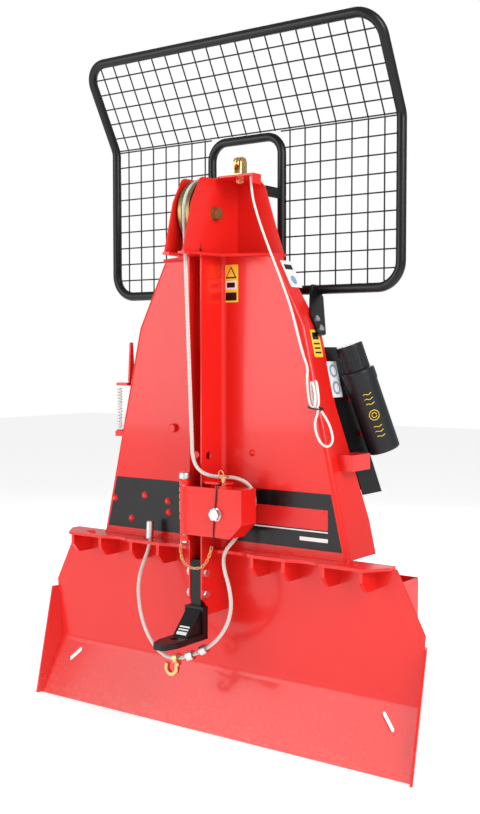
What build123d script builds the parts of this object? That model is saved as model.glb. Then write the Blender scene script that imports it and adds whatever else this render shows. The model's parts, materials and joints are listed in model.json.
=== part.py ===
from build123d import *
import math
import os

os.makedirs("parts", exist_ok=True)

# ---------------------------------------------------------------- driving dimensions, millimetres
# X runs across the machine, +Y points at the tractor, +Z is up, and the blade stands on Z = 0.
blade_width = 1550
blade_top = 604                 # underside of the chain shelf
blade_rear = -27                # rear face of the upright part of the blade
blade_sheet = 8
blade_crease = 200              # height at which the blade folds rearwards
blade_toe = -115                # rear face of the blade on the ground
blade_shoulder = 383            # height at which the blade's upper corners start to slope
blade_top_half = 662
wing_slope = 23                 # flare of the end wings, degrees

shelf_sheet = 10
shelf_rear = -125
slot_places = (255, 525)        # chain slots, each side of the middle
gusset_places = (195, 315, 460, 592)
gusset_height = 66

tower_sheet = 6
tower_rear = -45                # rear face of the tower
tower_break = 1339
tower_top = 1563
tower_base_half = 508
tower_break_half = 340
tower_top_half = 226
bend_radius = 16
column_half = 22                # half the open slot down the middle
column_rear = -160
column_bottom = 400
fold_radius = 16

cheek_half = 34                 # inner faces of the head's two cheeks
cheek_sheet = 6
head_top = 1812
head_front = 20

rope_diameter = 12.7
control_rope_diameter = 8
upper_sheave_radius = 110       # to the rope's centre
upper_sheave_y = -105
upper_sheave_z = 1700
lower_sheave_radius = 62
axle_radius = 12.5
running_clearance = 0.05        # radial, round every shaft

block_hinge_x = -25             # swinging lower pulley block
block_hinge_y = -182
block_low = 668
block_high = 825
block_right = 206
block_rear = -190               # outer face of its front plate
block_depth = 80
block_sheet = 6
block_barrel_radius = 16
hinge_pin_radius = 9

screen_half = 590               # tube centre lines
screen_y = 125
screen_low = 1460
screen_bend = 1991
screen_top = 2274
screen_lean = 155
screen_tube = 32
screen_corner = 80
screen_door_half = 145
mesh_wire = 5
mesh_columns = 19
mesh_rows_low = 9
mesh_rows_high = 6

drum_x = 100
drum_z = 930
drum_shaft_radius = 20
drum_barrel_radius = 57
drum_flange_radius = 150
drum_flange_sheet = 6
drum_low_y = -2
drum_length = 100
chain_pitch = 25.4
chain_roller_radius = 7.9
large_teeth = 32
small_teeth = 11
chain_y = 115
input_z = 520
input_radius = 17.5

hitch_spread = 825              # category II, between the two ball centres
hitch_height = 460
hitch_y = 290
mast_height = 610
lower_pin_radius = 14.25
top_pin_radius = 12.5
top_link_gap = 52
hitch_plate_half = 375
hitch_plate_sheet = 15
drive_plate_y = 150
drive_plate_sheet = 8
front_limit = 350

tray_inner = 490
tray_outer = 600
tray_low = 380
tray_high = 530
tray_front = 245
tray_sheet = 4

stand_tube = 50
stand_wall = 4
stand_y = 225
stand_gap = 0.5

canister_radius = 52
canister_cap_radius = 43
canister_top = Vector(417, 103, 1280)
canister_bottom = Vector(499, 195, 940)


# ---------------------------------------------------------------- shared profiles and places
def across(y):
    """Plane seen from the rear at depth y: extruding by a negative amount goes towards the tractor."""
    return Plane.XZ.offset(-y)


def side(x):
    """Plane seen from the right at x, with +Y to its right and +Z up."""
    return Plane.YZ.offset(x)


def level(z):
    return Plane.XY.offset(z)


def outline(plane, points, corner=0.0):
    with BuildSketch(plane) as shape:
        with BuildLine():
            Polyline(*points, close=True)
        make_face()
        if corner:
            fillet(shape.vertices(), corner)
    return shape.sketch


def slab(plane, low, high, corner=0.0):
    points = [low, (high[0], low[1]), high, (low[0], high[1])]
    return outline(plane, points, corner)


def disc(plane, centre, radius, bore=0.0):
    with BuildSketch(plane) as shape:
        with Locations(centre):
            Circle(radius)
            if bore:
                Circle(bore, mode=Mode.SUBTRACT)
    return shape.sketch


def hexagon(plane, centre, across_flats):
    with BuildSketch(plane) as shape:
        with Locations(centre):
            RegularPolygon(across_flats / 2, 6, major_radius=False)
    return shape.sketch


def save(piece, name):
    piece.part.label = name
    export_step(piece.part, f"parts/{name}.step")


def tower_half(z):
    """Half the tower's width at height z, to its outer faces."""
    if z > tower_break:
        share = (z - tower_break) / (tower_top - tower_break)
        return tower_break_half + share * (tower_top_half - tower_break_half)
    share = (z - tower_base) / (tower_break - tower_base)
    return tower_base_half + share * (tower_break_half - tower_base_half)


def tower_outline(inset, low, high):
    """Right half of the tower seen from the rear, its sloping edge moved in by the inset."""
    heights = [low, tower_break, high] if low < tower_break < high else [low, high]
    edge = [(tower_half(z) - inset, z) for z in heights]
    return [(0, low), *edge, (0, high)]


tower_base = blade_top + shelf_sheet
blade_front = blade_rear + blade_sheet
# Front edges of the tower's side plates, (y, z) from the base upwards.
side_front = [(125, tower_base), (125, 720), (85, 940), (55, 1090), (55, 1300), (32, 1410), (10, tower_top)]

# ---------------------------------------------------------------- blade
blade_half = blade_width / 2
wing_top = Vector(blade_half - 8, -48, blade_shoulder)
wing_foot = Vector(blade_half - 8, -134, 0)
wing_root = Vector(blade_half - 34, blade_front - 4, blade_crease)
wing_plane = Plane(
    origin=wing_top,
    x_dir=wing_foot - wing_top,
    z_dir=(wing_foot - wing_top).cross(wing_root - wing_top),
)

with BuildPart() as blade_plate:
    with BuildSketch(Plane.YZ):
        with BuildLine():
            FilletPolyline(
                (blade_toe, 0), (blade_rear, blade_crease), (blade_rear, blade_top), radius=70
            )
            offset(amount=blade_sheet, side=Side.RIGHT)
        make_face()
    extrude(amount=blade_half)
    with BuildSketch(Plane.XZ):
        with BuildLine():
            Polyline(
                (0, 0),
                (blade_half, 0),
                (blade_half, blade_shoulder),
                (blade_top_half, blade_top),
                (0, blade_top),
                close=True,
            )
        make_face()
    extrude(amount=400, both=True, mode=Mode.INTERSECT)
    split(bisect_by=wing_plane, keep=Keep.BOTTOM)
    with BuildSketch(Plane.XZ):
        with Locations((650, 145)):
            SlotOverall(66, 15, rotation=-45)
    extrude(amount=400, both=True, mode=Mode.SUBTRACT)
    mirror(about=Plane.YZ)
save(blade_plate, "blade_plate")

with BuildPart() as blade_wings:
    root_low = Vector(blade_half - 18, blade_toe + 14, 0)
    root_high = Vector(blade_half - 17, blade_front, blade_shoulder)
    corners = [wing_plane.to_local_coords(p) for p in (wing_top, wing_foot, root_low, wing_root, root_high)]
    extrude(outline(wing_plane, [(p.X, p.Y) for p in corners]), amount=blade_sheet)
    mirror(about=Plane.YZ)
save(blade_wings, "blade_wings")

# ---------------------------------------------------------------- chain shelf along the blade's top
shelf_inner = column_half + tower_sheet
shelf_outer = blade_top_half - 6
with BuildPart() as chain_shelf:
    with BuildSketch(level(blade_top)):
        with BuildLine():
            Polyline(
                (shelf_inner, blade_front),
                (shelf_inner, shelf_rear + 20),
                (shelf_inner + 40, shelf_rear),
                (shelf_outer - 52, shelf_rear),
                (shelf_outer, blade_rear - 28),
                (shelf_outer, blade_front),
                close=True,
            )
        make_face()
        # shallow scallops between the gussets
        for place in (405 - 18, 121):
            with Locations((place, shelf_rear - 92)):
                Circle(110, mode=Mode.SUBTRACT)
        for place in slot_places:
            with Locations((place, blade_rear - 62)):
                SlotOverall(66, 20, rotation=35, mode=Mode.SUBTRACT)
            with Locations((place + 20, blade_rear - 48)):
                Circle(17, mode=Mode.SUBTRACT)
    extrude(amount=shelf_sheet)
    mirror(about=Plane.YZ)
save(chain_shelf, "chain_shelf")

with BuildPart() as shelf_gussets:
    for place in gusset_places:
        with BuildSketch(side(place - 6)):
            with BuildLine():
                Polyline(
                    (blade_rear, blade_top),
                    (shelf_rear + 6, blade_top),
                    (shelf_rear + 6, blade_top - 34),
                    (shelf_rear + 34, blade_top - gusset_height),
                    (blade_rear, blade_top - gusset_height),
                    close=True,
                )
            make_face()
        extrude(amount=12)
    rounded = shelf_gussets.edges().filter_by(Axis.X).group_by(Axis.Y)[1]
    fillet(rounded, 14)
    mirror(about=Plane.YZ)
save(shelf_gussets, "shelf_gussets")

# ---------------------------------------------------------------- tower
def slope_edges(shape, depth):
    """The upright, sloping edges of a form's right side that lie at one depth."""
    edges = shape.edges().filter_by(lambda e: abs(e.center().Y - depth) < 0.1 and e.center().X > 200)
    return edges.filter_by(lambda e: abs((e @ 0).Z - (e @ 1).Z) > 50)


with BuildPart() as tower_form:
    extrude(outline(across(tower_rear), tower_outline(0, tower_base, tower_top)), amount=-240)
    fillet(slope_edges(tower_form, tower_rear), bend_radius)

with BuildPart() as tower_hollow:
    inner = tower_outline(tower_sheet, tower_base - 1, tower_top + 1)
    extrude(outline(across(tower_rear + tower_sheet), inner), amount=-400)
    fillet(slope_edges(tower_hollow, tower_rear + tower_sheet), bend_radius - tower_sheet)

with BuildPart() as side_sheet:
    add(tower_form.part)
    add(tower_hollow.part, mode=Mode.SUBTRACT)
    extrude(outline(Plane.YZ, [(-300, tower_base), *side_front, (-300, tower_top)]), amount=900, mode=Mode.INTERSECT)
    extrude(slab(Plane.XZ, (100, tower_base), (900, tower_top)), amount=500, both=True, mode=Mode.INTERSECT)

with BuildPart() as tower_plate_right:
    # rear sheet, folded rearwards along the middle slot
    with BuildSketch(level(tower_base)):
        with BuildLine():
            FilletPolyline(
                (column_half + tower_sheet, column_rear),
                (column_half + tower_sheet, tower_rear),
                (tower_base_half + 20, tower_rear),
                radius=fold_radius,
            )
            offset(amount=tower_sheet, side=Side.LEFT)
        make_face()
    extrude(amount=tower_top - tower_base)
    extrude(slab(Plane.XZ, (0, tower_base), (150, tower_top)), amount=400, both=True, mode=Mode.INTERSECT)
    add(side_sheet.part)
    # hole for the lower block's transport pin
    extrude(disc(side(0), (-124, 920), 13), amount=60, mode=Mode.SUBTRACT)
save(tower_plate_right, "tower_plate_right")

with BuildPart() as tower_plate_left:
    mirror(tower_plate_right.part, about=Plane.YZ)
save(tower_plate_left, "tower_plate_left")

# Lower end of the middle slot: two flanges down to the ball mount, and the slot's back.
with BuildPart() as column_foot:
    flange = [(blade_rear, column_bottom), (-139, column_bottom), (-139, 436), (column_rear, 456)]
    extrude(outline(side(column_half), [*flange, (column_rear, tower_base), (blade_rear, tower_base)]), amount=tower_sheet)
    mirror(about=Plane.YZ)
    extrude(slab(across(tower_rear - tower_sheet), (-column_half, column_bottom), (column_half, tower_top)),
            amount=-tower_sheet)
save(column_foot, "column_foot")

# ---------------------------------------------------------------- head
cheek_outline = [
    (head_front, tower_top + 8),
    (-265, tower_top + 8),
    (-222, 1730),
    (-178, head_top - 6),
    (-165, head_top),
    (head_front, head_top),
]
with BuildPart() as head_cheeks:
    extrude(outline(side(cheek_half), cheek_outline), amount=cheek_sheet)
    # relief notch above the fold, and the axle's hole
    extrude(outline(side(0), [(-190, tower_top), (-166, tower_top), (-178, tower_top + 38)]), amount=90, mode=Mode.SUBTRACT)
    extrude(disc(side(0), (upper_sheave_y, upper_sheave_z), axle_radius + running_clearance), amount=90,
            mode=Mode.SUBTRACT)
    mirror(about=Plane.YZ)
save(head_cheeks, "head_cheeks")

with BuildPart() as head_plates:
    # base plate over the tower, with a notch for each run of rope
    with BuildSketch(level(tower_top)):
        with BuildLine():
            Polyline(
                (-tower_top_half, head_front + 8),
                (-tower_top_half, tower_rear),
                (-cheek_half - 34, tower_rear - 64),
                (-cheek_half - 10, -268),
                (cheek_half + 10, -268),
                (cheek_half + 34, tower_rear - 64),
                (tower_top_half, tower_rear),
                (tower_top_half, head_front + 8),
                close=True,
            )
        make_face()
        with Locations((0, -235)):
            Rectangle(2 * cheek_half - 32, 110, mode=Mode.SUBTRACT)
        SlotOverall(46, 34, mode=Mode.SUBTRACT)
    extrude(amount=8)
    # upright plate behind the cheeks
    back = [(-tower_top_half + 6, tower_top + 8), (tower_top_half - 6, tower_top + 8), (176, 1700), (146, 1796), (132, head_top),
            (-132, head_top), (-146, 1796), (-176, 1700)]
    extrude(outline(across(head_front), back), amount=-8)
save(head_plates, "head_plates")

bracket_end = 186
with BuildPart() as head_bracket:
    with BuildSketch(level(head_top)):
        with BuildLine():
            Polyline((8, 28), (8, -74), (60, -108), (bracket_end, -108), (bracket_end, -62), (128, 28), close=True)
        make_face()
        with Locations((168, -85)):
            Circle(control_rope_diameter / 2 + 4, mode=Mode.SUBTRACT)
        with Locations((96, -45)):
            Circle(8.2, mode=Mode.SUBTRACT)
    extrude(amount=6)
    # lip turned down along the outer end
    extrude(slab(side(bracket_end), (-108, head_top - 26), (-62, head_top + 6)), amount=5)
save(head_bracket, "head_bracket")

def groove_wheel(radius, rope, rim, width, bore):
    """Half section of a grooved wheel in (axial, radial) coordinates, from its bore to its rim."""
    half = width / 2
    floor = radius - rope / 2 - 0.5
    with BuildSketch(Plane.XY) as shape:
        with BuildLine():
            Polyline(
                (-half, bore),
                (half, bore),
                (half, bore + 16),
                (half - 5, bore + 20),
                (half - 5, floor - 16),
                (half, floor - 6),
                (half, rim),
                (rope / 2 + 3, rim),
                (rope / 2 - 1, floor + 3),
                (2, floor),
                (-2, floor),
                (-rope / 2 + 1, floor + 3),
                (-rope / 2 - 3, rim),
                (-half, rim),
                (-half, floor - 6),
                (-half + 5, floor - 16),
                (-half + 5, bore + 20),
                (-half, bore + 16),
                close=True,
            )
        make_face()
    return shape.sketch


with BuildPart() as upper_sheave:
    wheel = groove_wheel(upper_sheave_radius, rope_diameter, upper_sheave_radius + 3, 44, axle_radius + running_clearance)
    revolve(wheel, axis=Axis.X)
    with BuildSketch(Plane.YZ):
        with PolarLocations(66, 6):
            Circle(13)
    extrude(amount=60, both=True, mode=Mode.SUBTRACT)
upper_sheave.part = upper_sheave.part.moved(Location((0, upper_sheave_y, upper_sheave_z)))
save(upper_sheave, "upper_sheave")

with BuildPart() as sheave_axle:
    centre = (upper_sheave_y, upper_sheave_z)
    reach = cheek_half + cheek_sheet
    extrude(disc(side(-reach - 20), centre, axle_radius), amount=2 * reach + 20)
    for face in (-reach - 3, reach):
        extrude(disc(side(face), centre, 22), amount=3)
    extrude(hexagon(side(reach + 3), centre, 36), amount=14)
    extrude(hexagon(side(-reach - 17), centre, 36), amount=14)
save(sheave_axle, "sheave_axle")

# Guide for the control rope: a small wheel in a yoke on top of the bracket.
guide_x, guide_y, guide_z = 96, -45, head_top + 52
with BuildPart() as guide_yoke:
    extrude(disc(level(head_top + 6), (guide_x, guide_y), 17), amount=8)
    for face in (-17, 12):
        ear = [(-15, head_top + 14), (15, head_top + 14), (15, guide_z + 4), (8, guide_z + 16), (-8, guide_z + 16), (-15, guide_z + 4)]
        extrude(outline(side(guide_x + face), [(guide_y + a, b) for a, b in ear]), amount=5)
    extrude(slab(side(guide_x - 17), (guide_y - 15, head_top + 12), (guide_y + 15, head_top + 18)), amount=34)
    extrude(disc(side(guide_x - 20), (guide_y, guide_z), 4), amount=40)
    extrude(disc(level(head_top - 14), (guide_x, guide_y), 8), amount=20)
    extrude(hexagon(level(head_top - 11), (guide_x, guide_y), 24), amount=11)
save(guide_yoke, "guide_yoke")

with BuildPart() as guide_pulley:
    with BuildSketch(Plane.XY):
        with BuildLine():
            Polyline((-10, 4.05), (10, 4.05), (10, 20), (6, 20), (2, 12), (-2, 12), (-6, 20), (-10, 20), close=True)
        make_face()
    revolve(axis=Axis.X)
guide_pulley.part = guide_pulley.part.moved(Location((guide_x, guide_y, guide_z)))
save(guide_pulley, "guide_pulley")

# ---------------------------------------------------------------- swinging lower pulley block
block_centre = (109, 743)       # axle of the lower sheave, (x, z)
barrel_gap = 3
with BuildPart() as lower_block:
    # front plate with a cut lower corner
    plate_left = block_hinge_x + block_barrel_radius - 3
    plate = [(plate_left, block_low), (block_right - 46, block_low), (block_right, block_low + 46),
             (block_right, block_high), (plate_left, block_high)]
    extrude(outline(across(block_rear), plate), amount=-block_sheet)
    # top and bottom plates, clear of the column's flange
    inner = column_half + tower_sheet + 11
    for z in (block_low, block_high - block_sheet):
        with BuildSketch(level(z)):
            with BuildLine():
                Polyline(
                    (block_hinge_x, block_rear + 1),
                    (block_right - (46 if z == block_low else 0), block_rear + 1),
                    (block_right - (46 if z == block_low else 0), block_rear + block_depth),
                    (inner, block_rear + block_depth),
                    (inner, block_hinge_y + 14),
                    (block_hinge_x, block_hinge_y + 14),
                    close=True,
                )
            make_face()
        extrude(amount=block_sheet)
    # right wall and its sloping foot
    extrude(slab(side(block_right - block_sheet), (block_rear + 1, block_low + 46), (block_rear + block_depth, block_high)),
            amount=block_sheet)
    foot = [(block_right - 46, block_low), (block_right, block_low + 46), (block_right - 6, block_low + 46),
            (block_right - 50, block_low + 4)]
    extrude(outline(across(block_rear + 1), foot), amount=-block_depth + 1)
    # hinge barrel
    extrude(disc(level(block_low), (block_hinge_x, block_hinge_y), block_barrel_radius), amount=block_high - block_low)
    extrude(disc(level(block_low - 5), (block_hinge_x, block_hinge_y), hinge_pin_radius + running_clearance),
            amount=block_high - block_low + 10, mode=Mode.SUBTRACT)
    # lug on top for the latch pin
    extrude(slab(level(block_high), (96, block_rear + 4), (144, block_rear + 40), 8), amount=8)
    extrude(disc(level(block_low), (120, block_rear + 24), 7.5), amount=200, mode=Mode.SUBTRACT)
    extrude(disc(across(-300), block_centre, axle_radius + running_clearance), amount=-250, mode=Mode.SUBTRACT)
save(lower_block, "lower_block")

sheave_rear = block_rear + block_sheet + 6
sheave_width = 34
with BuildPart() as lower_sheave:
    wheel = groove_wheel(lower_sheave_radius, rope_diameter, lower_sheave_radius + 4, sheave_width, axle_radius + running_clearance)
    revolve(wheel, axis=Axis.X)
lower_sheave.part = lower_sheave.part.rotate(Axis.Z, 90).moved(
    Location((block_centre[0], sheave_rear + sheave_width / 2, block_centre[1])))
save(lower_sheave, "lower_sheave")

with BuildPart() as lower_axle:
    extrude(disc(across(block_rear - 3), block_centre, 21), amount=-3)
    extrude(hexagon(across(block_rear - 16), block_centre, 34), amount=-13)
    extrude(disc(across(block_rear - 16), block_centre, axle_radius), amount=-(16 + block_sheet + 6 + sheave_width + 12))
    extrude(disc(across(block_rear + block_sheet), block_centre, 19, axle_radius), amount=-5.5)
    extrude(disc(across(sheave_rear + sheave_width + 0.5), block_centre, 22), amount=-8)
save(lower_axle, "lower_axle")

with BuildPart() as block_lugs:
    # ears on the column's left flange, above and below the barrel
    for z in (block_low - barrel_gap - 18, block_high + barrel_gap):
        with BuildSketch(level(z)):
            with Locations((block_hinge_x, block_hinge_y)):
                Circle(block_barrel_radius)
            with Locations((block_hinge_x, (block_hinge_y + column_rear) / 2)):
                Rectangle(14, column_rear - block_hinge_y)
            with Locations((block_hinge_x, block_hinge_y)):
                Circle(hinge_pin_radius + running_clearance, mode=Mode.SUBTRACT)
        extrude(amount=18)
    # fork on the right flange that the latch pin drops into
    with BuildSketch(level(block_high + 12)):
        with BuildLine():
            Polyline((column_half + tower_sheet, column_rear), (60, -184), (144, -184), (144, -146), (70, -128),
                     (column_half + tower_sheet, -112), close=True)
        make_face()
        with Locations((120, block_rear + 24)):
            Circle(8.5, mode=Mode.SUBTRACT)
        with Locations((120, -186)):
            Rectangle(17, 40, mode=Mode.SUBTRACT)
    extrude(amount=7)
save(block_lugs, "block_lugs")

with BuildPart() as hinge_pin:
    foot = block_low - barrel_gap - 26
    extrude(disc(level(foot), (block_hinge_x, block_hinge_y), hinge_pin_radius), amount=block_high + 24 - foot)
    extrude(disc(level(block_high + 24), (block_hinge_x, block_hinge_y), 18.5), amount=20)
    fillet(hinge_pin.edges().group_by(Axis.Z)[-1], 6)
save(hinge_pin, "hinge_pin")

latch_centre = (120, block_rear + 24)
with BuildPart() as latch_pin:
    extrude(disc(level(block_high - 10), latch_centre, 7), amount=40)
    extrude(disc(level(block_high + 30), latch_centre, 10), amount=12)
    with BuildSketch(Plane(origin=(latch_centre[0] + 16, latch_centre[1], block_high + 36), z_dir=(0, 1, 0))):
        Circle(2)
    ring_centre = Axis((latch_centre[0], latch_centre[1], block_high + 36), (0, 0, 1))
    revolve(axis=ring_centre)
save(latch_pin, "latch_pin")

# ---------------------------------------------------------------- safety screen
tube_radius = screen_tube / 2
screen_slope = math.hypot(screen_lean, screen_top - screen_bend)

with BuildPart() as screen_frame:
    with BuildLine() as half_loop:
        FilletPolyline(
            (0, screen_y, screen_low),
            (screen_half, screen_y, screen_low),
            (screen_half, screen_y, screen_bend),
            (screen_half, screen_y - screen_lean, screen_top),
            (0, screen_y - screen_lean, screen_top),
            radius=[screen_corner, 60, screen_corner],
        )
    with BuildSketch(Plane(origin=(0, screen_y, screen_low), z_dir=(1, 0, 0))):
        Circle(tube_radius)
    sweep(path=half_loop.line)
    mirror(about=Plane.YZ)
    # doorway for the view over the head, welded to the lower tube
    with BuildLine() as door:
        FilletPolyline(
            (screen_door_half, screen_y, screen_low),
            (screen_door_half, screen_y, screen_bend - tube_radius),
            (-screen_door_half, screen_y, screen_bend - tube_radius),
            (-screen_door_half, screen_y, screen_low),
            radius=60,
        )
    with BuildSketch(Plane(origin=(screen_door_half, screen_y, screen_low), z_dir=(0, 0, 1))):
        Circle(tube_radius - 1)
    sweep(path=door.line)
save(screen_frame, "screen_frame")

# Mesh panels: uprights on one side, cross wires touching them on the other.
column_step = 2 * screen_half / (mesh_columns + 1)
row_step_low = (screen_bend - screen_low) / mesh_rows_low
row_step_high = screen_slope / mesh_rows_high
column_places = [-screen_half + column_step * (i + 1) for i in range(mesh_columns)]


def grid(plane, columns, low, high, rows, left, right):
    """Crossed wires of one flat panel: each wire's axis, as a start and an end."""
    wires = [(plane.from_local_coords((c, low, 0)), plane.from_local_coords((c, high, 0))) for c in columns]
    wires += [
        (plane.from_local_coords((left, r, mesh_wire)), plane.from_local_coords((right, r, mesh_wire))) for r in rows
    ]
    return wires


def wire(start, end):
    with BuildSketch(Plane(origin=start, z_dir=end - start)) as section:
        Circle(mesh_wire / 2)
    return extrude(section.sketch, amount=(end - start).length, mode=Mode.PRIVATE)


low_plane = Plane(origin=(0, screen_y, screen_low), x_dir=(1, 0, 0), z_dir=(0, -1, 0))
high_plane = Plane(
    origin=(0, screen_y, screen_bend), x_dir=(1, 0, 0), z_dir=(0, screen_bend - screen_top, -screen_lean)
)
low_rows = [row_step_low * (i + 1) for i in range(mesh_rows_low - 1)] + [screen_bend - screen_low - 4]
high_rows = [row_step_high * (i + 1) for i in range(mesh_rows_high - 1)]
side_columns = [c for c in column_places if c > screen_door_half + 10]
middle_columns = [c for c in column_places if abs(c) <= screen_door_half + 10]
panel_top = screen_bend - screen_low

with BuildPart() as screen_mesh_right:
    for start, end in grid(low_plane, side_columns, 0, panel_top - 1, low_rows, screen_door_half, screen_half):
        add(wire(start, end))
save(screen_mesh_right, "screen_mesh_right")

with BuildPart() as screen_mesh_left:
    mirror(screen_mesh_right.part, about=Plane.YZ)
save(screen_mesh_left, "screen_mesh_left")

with BuildPart() as screen_mesh_top:
    for start, end in grid(high_plane, column_places, 1, screen_slope, [6, *high_rows], -screen_half, screen_half):
        add(wire(start, end))
save(screen_mesh_top, "screen_mesh_top")

# Legs that carry the screen: plates on the tower's upper slopes, and straps back to the head.
slope_angle = math.atan2(tower_break_half - tower_top_half, tower_top - tower_break)
leg_sheet = 8
leg_plane = Plane(
    origin=(tower_break_half + 0.3, 0, tower_break),
    x_dir=(0, 1, 0),
    z_dir=(math.cos(slope_angle), 0, math.sin(slope_angle)),
)
leg_bolts = ((34, -14), (34, 20))
strap_low, strap_high = 1764, 1798
with BuildPart() as screen_brackets:
    shape = [(14, -34), (54, -34), (138, 104), (138, 150), (98, 150), (14, 38)]
    extrude(outline(leg_plane, shape, 5), amount=leg_sheet)
    extrude(disc(side(0), (screen_y, screen_low), tube_radius), amount=600, mode=Mode.SUBTRACT)
    extrude(
        slab(side(screen_door_half - 4), (head_front + 8, strap_low), (screen_y - tube_radius + 1, strap_high)),
        amount=8,
    )
    extrude(slab(across(head_front + 8), (118, strap_low), (screen_door_half - 4, strap_high)), amount=-8)
    mirror(about=Plane.YZ)
save(screen_brackets, "screen_brackets")

# ---------------------------------------------------------------- drum and drive
with BuildPart() as drum_shaft:
    reach = drive_plate_y - (tower_rear + tower_sheet)
    extrude(disc(across(tower_rear + tower_sheet), (drum_x, drum_z), drum_shaft_radius), amount=-reach)
    extrude(disc(across(tower_rear + tower_sheet), (drum_x, drum_z), 34, drum_shaft_radius), amount=-6)
save(drum_shaft, "drum_shaft")

drum_high_y = drum_low_y + drum_length
bore = drum_shaft_radius + running_clearance
with BuildPart() as drum:
    with BuildSketch(Plane.XY):
        with BuildLine():
            Polyline(
                (drum_low_y - 26, 112),
                (drum_low_y - 26, 118),
                (drum_low_y, 118),
                (drum_low_y, drum_flange_radius),
                (drum_low_y + drum_flange_sheet, drum_flange_radius),
                (drum_low_y + drum_flange_sheet, drum_barrel_radius),
                (drum_high_y - drum_flange_sheet, drum_barrel_radius),
                (drum_high_y - drum_flange_sheet, drum_flange_radius),
                (drum_high_y, drum_flange_radius),
                (drum_high_y, bore),
                (drum_low_y - 8, bore),
                (drum_low_y - 8, bore + 16),
                (drum_low_y, bore + 16),
                (drum_low_y, 112),
                close=True,
            )
        make_face()
    revolve(axis=Axis.X)
drum.part = drum.part.rotate(Axis.Z, 90).moved(Location((drum_x, 0, drum_z)))
save(drum, "drum")

# Rope stored on the drum, as one winding whose outer layer shows its turns.
wound_turns = 6
wound_layers = 3
wound_low = drum_low_y + drum_flange_sheet + 1
wound_step = (drum_length - 2 * drum_flange_sheet - 2) / wound_turns
wound_radius = drum_barrel_radius + 0.3 + rope_diameter * (wound_layers - 0.5)
with BuildPart() as wound_rope:
    with BuildSketch(Plane.XY):
        core_low, core_high = drum_barrel_radius + 0.3, wound_radius + 1
        with Locations((wound_low + wound_step * wound_turns / 2, (core_low + core_high) / 2)):
            Rectangle(wound_step * wound_turns - 2, core_high - core_low)
        for turn in range(wound_turns):
            with Locations((wound_low + wound_step * (turn + 0.5), wound_radius)):
                Circle(rope_diameter / 2)
    revolve(axis=Axis.X)
wound_rope.part = wound_rope.part.rotate(Axis.Z, 90).moved(Location((drum_x, 0, drum_z)))
save(wound_rope, "wound_rope")


def pitch_radius(teeth):
    return chain_pitch / (2 * math.sin(math.pi / teeth))


def sprocket(teeth, hole):
    """Chain wheel in its own plane: roller seats cut from a disc."""
    with BuildSketch(Plane.XZ) as shape:
        Circle(pitch_radius(teeth) + 7)
        with PolarLocations(pitch_radius(teeth), teeth):
            Circle(chain_roller_radius + 0.2, mode=Mode.SUBTRACT)
        Circle(hole, mode=Mode.SUBTRACT)
    return shape.sketch


with BuildPart() as large_sprocket:
    extrude(sprocket(large_teeth, bore), amount=6, both=True)
    with BuildSketch(Plane.XZ):
        with PolarLocations(78, 6):
            Circle(17)
    extrude(amount=20, both=True, mode=Mode.SUBTRACT)
    extrude(disc(across(6), (0, 0), 38, bore), amount=-8)
large_sprocket.part = large_sprocket.part.moved(Location((drum_x, chain_y, drum_z)))
save(large_sprocket, "large_sprocket")

# Friction disc between the sprocket and the drum's flange.
with BuildPart() as clutch_disc:
    extrude(disc(across(drum_high_y + 0.5), (drum_x, drum_z), 104, 50), amount=-(chain_y - 6 - drum_high_y - 0.5))
save(clutch_disc, "clutch_disc")

with BuildPart() as input_shaft:
    # plain shaft with a six-spline end for the tractor's drive shaft
    extrude(disc(across(46), (0, input_z), input_radius), amount=-(front_limit - 46))
    with BuildSketch(across(front_limit - 90)):
        with Locations((0, input_z)):
            with PolarLocations(input_radius, 6):
                Rectangle(5, 8.6)
    extrude(amount=-90, mode=Mode.SUBTRACT)
save(input_shaft, "input_shaft")

with BuildPart() as small_sprocket:
    extrude(sprocket(small_teeth, input_radius), amount=6, both=True)
    extrude(disc(across(6), (0, 0), 30, input_radius), amount=-14)
small_sprocket.part = small_sprocket.part.moved(Location((0, chain_y, input_z)))
save(small_sprocket, "small_sprocket")

# Roller chain round both wheels. Its plates run beside the teeth; rollers are on the free runs.
big, small = pitch_radius(large_teeth), pitch_radius(small_teeth)
wheel_gap = math.hypot(drum_x, drum_z - input_z)
wheel_line = math.atan2(drum_z - input_z, drum_x)
wrap = math.asin((big - small) / wheel_gap)
run = math.sqrt(wheel_gap**2 - (big - small) ** 2)
loop_length = 2 * run + big * (math.pi + 2 * wrap) + small * (math.pi - 2 * wrap)
link_count = 2 * round(loop_length / chain_pitch / 2)


def chain_point(share):
    """Point (x, z) of the chain's pitch line, share 0 to 1 round the loop, anticlockwise from the rear."""
    s = (share % 1) * loop_length
    tangent = wheel_line - math.pi / 2 - wrap
    big_arc = big * (math.pi + 2 * wrap)
    small_arc = small * (math.pi - 2 * wrap)
    if s < big_arc:
        angle = tangent + s / big
        return drum_x + big * math.cos(angle), drum_z + big * math.sin(angle)
    s -= big_arc
    leave = tangent + math.pi + 2 * wrap
    if s < run:
        t = s / run
        ax, az = drum_x + big * math.cos(leave), drum_z + big * math.sin(leave)
        bx, bz = small * math.cos(leave), input_z + small * math.sin(leave)
        return ax + (bx - ax) * t, az + (bz - az) * t
    s -= run
    if s < small_arc:
        angle = leave + s / small
        return small * math.cos(angle), input_z + small * math.sin(angle)
    t = (s - small_arc) / run
    ax, az = small * math.cos(tangent), input_z + small * math.sin(tangent)
    bx, bz = drum_x + big * math.cos(tangent), drum_z + big * math.sin(tangent)
    return ax + (bx - ax) * t, az + (bz - az) * t


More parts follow.
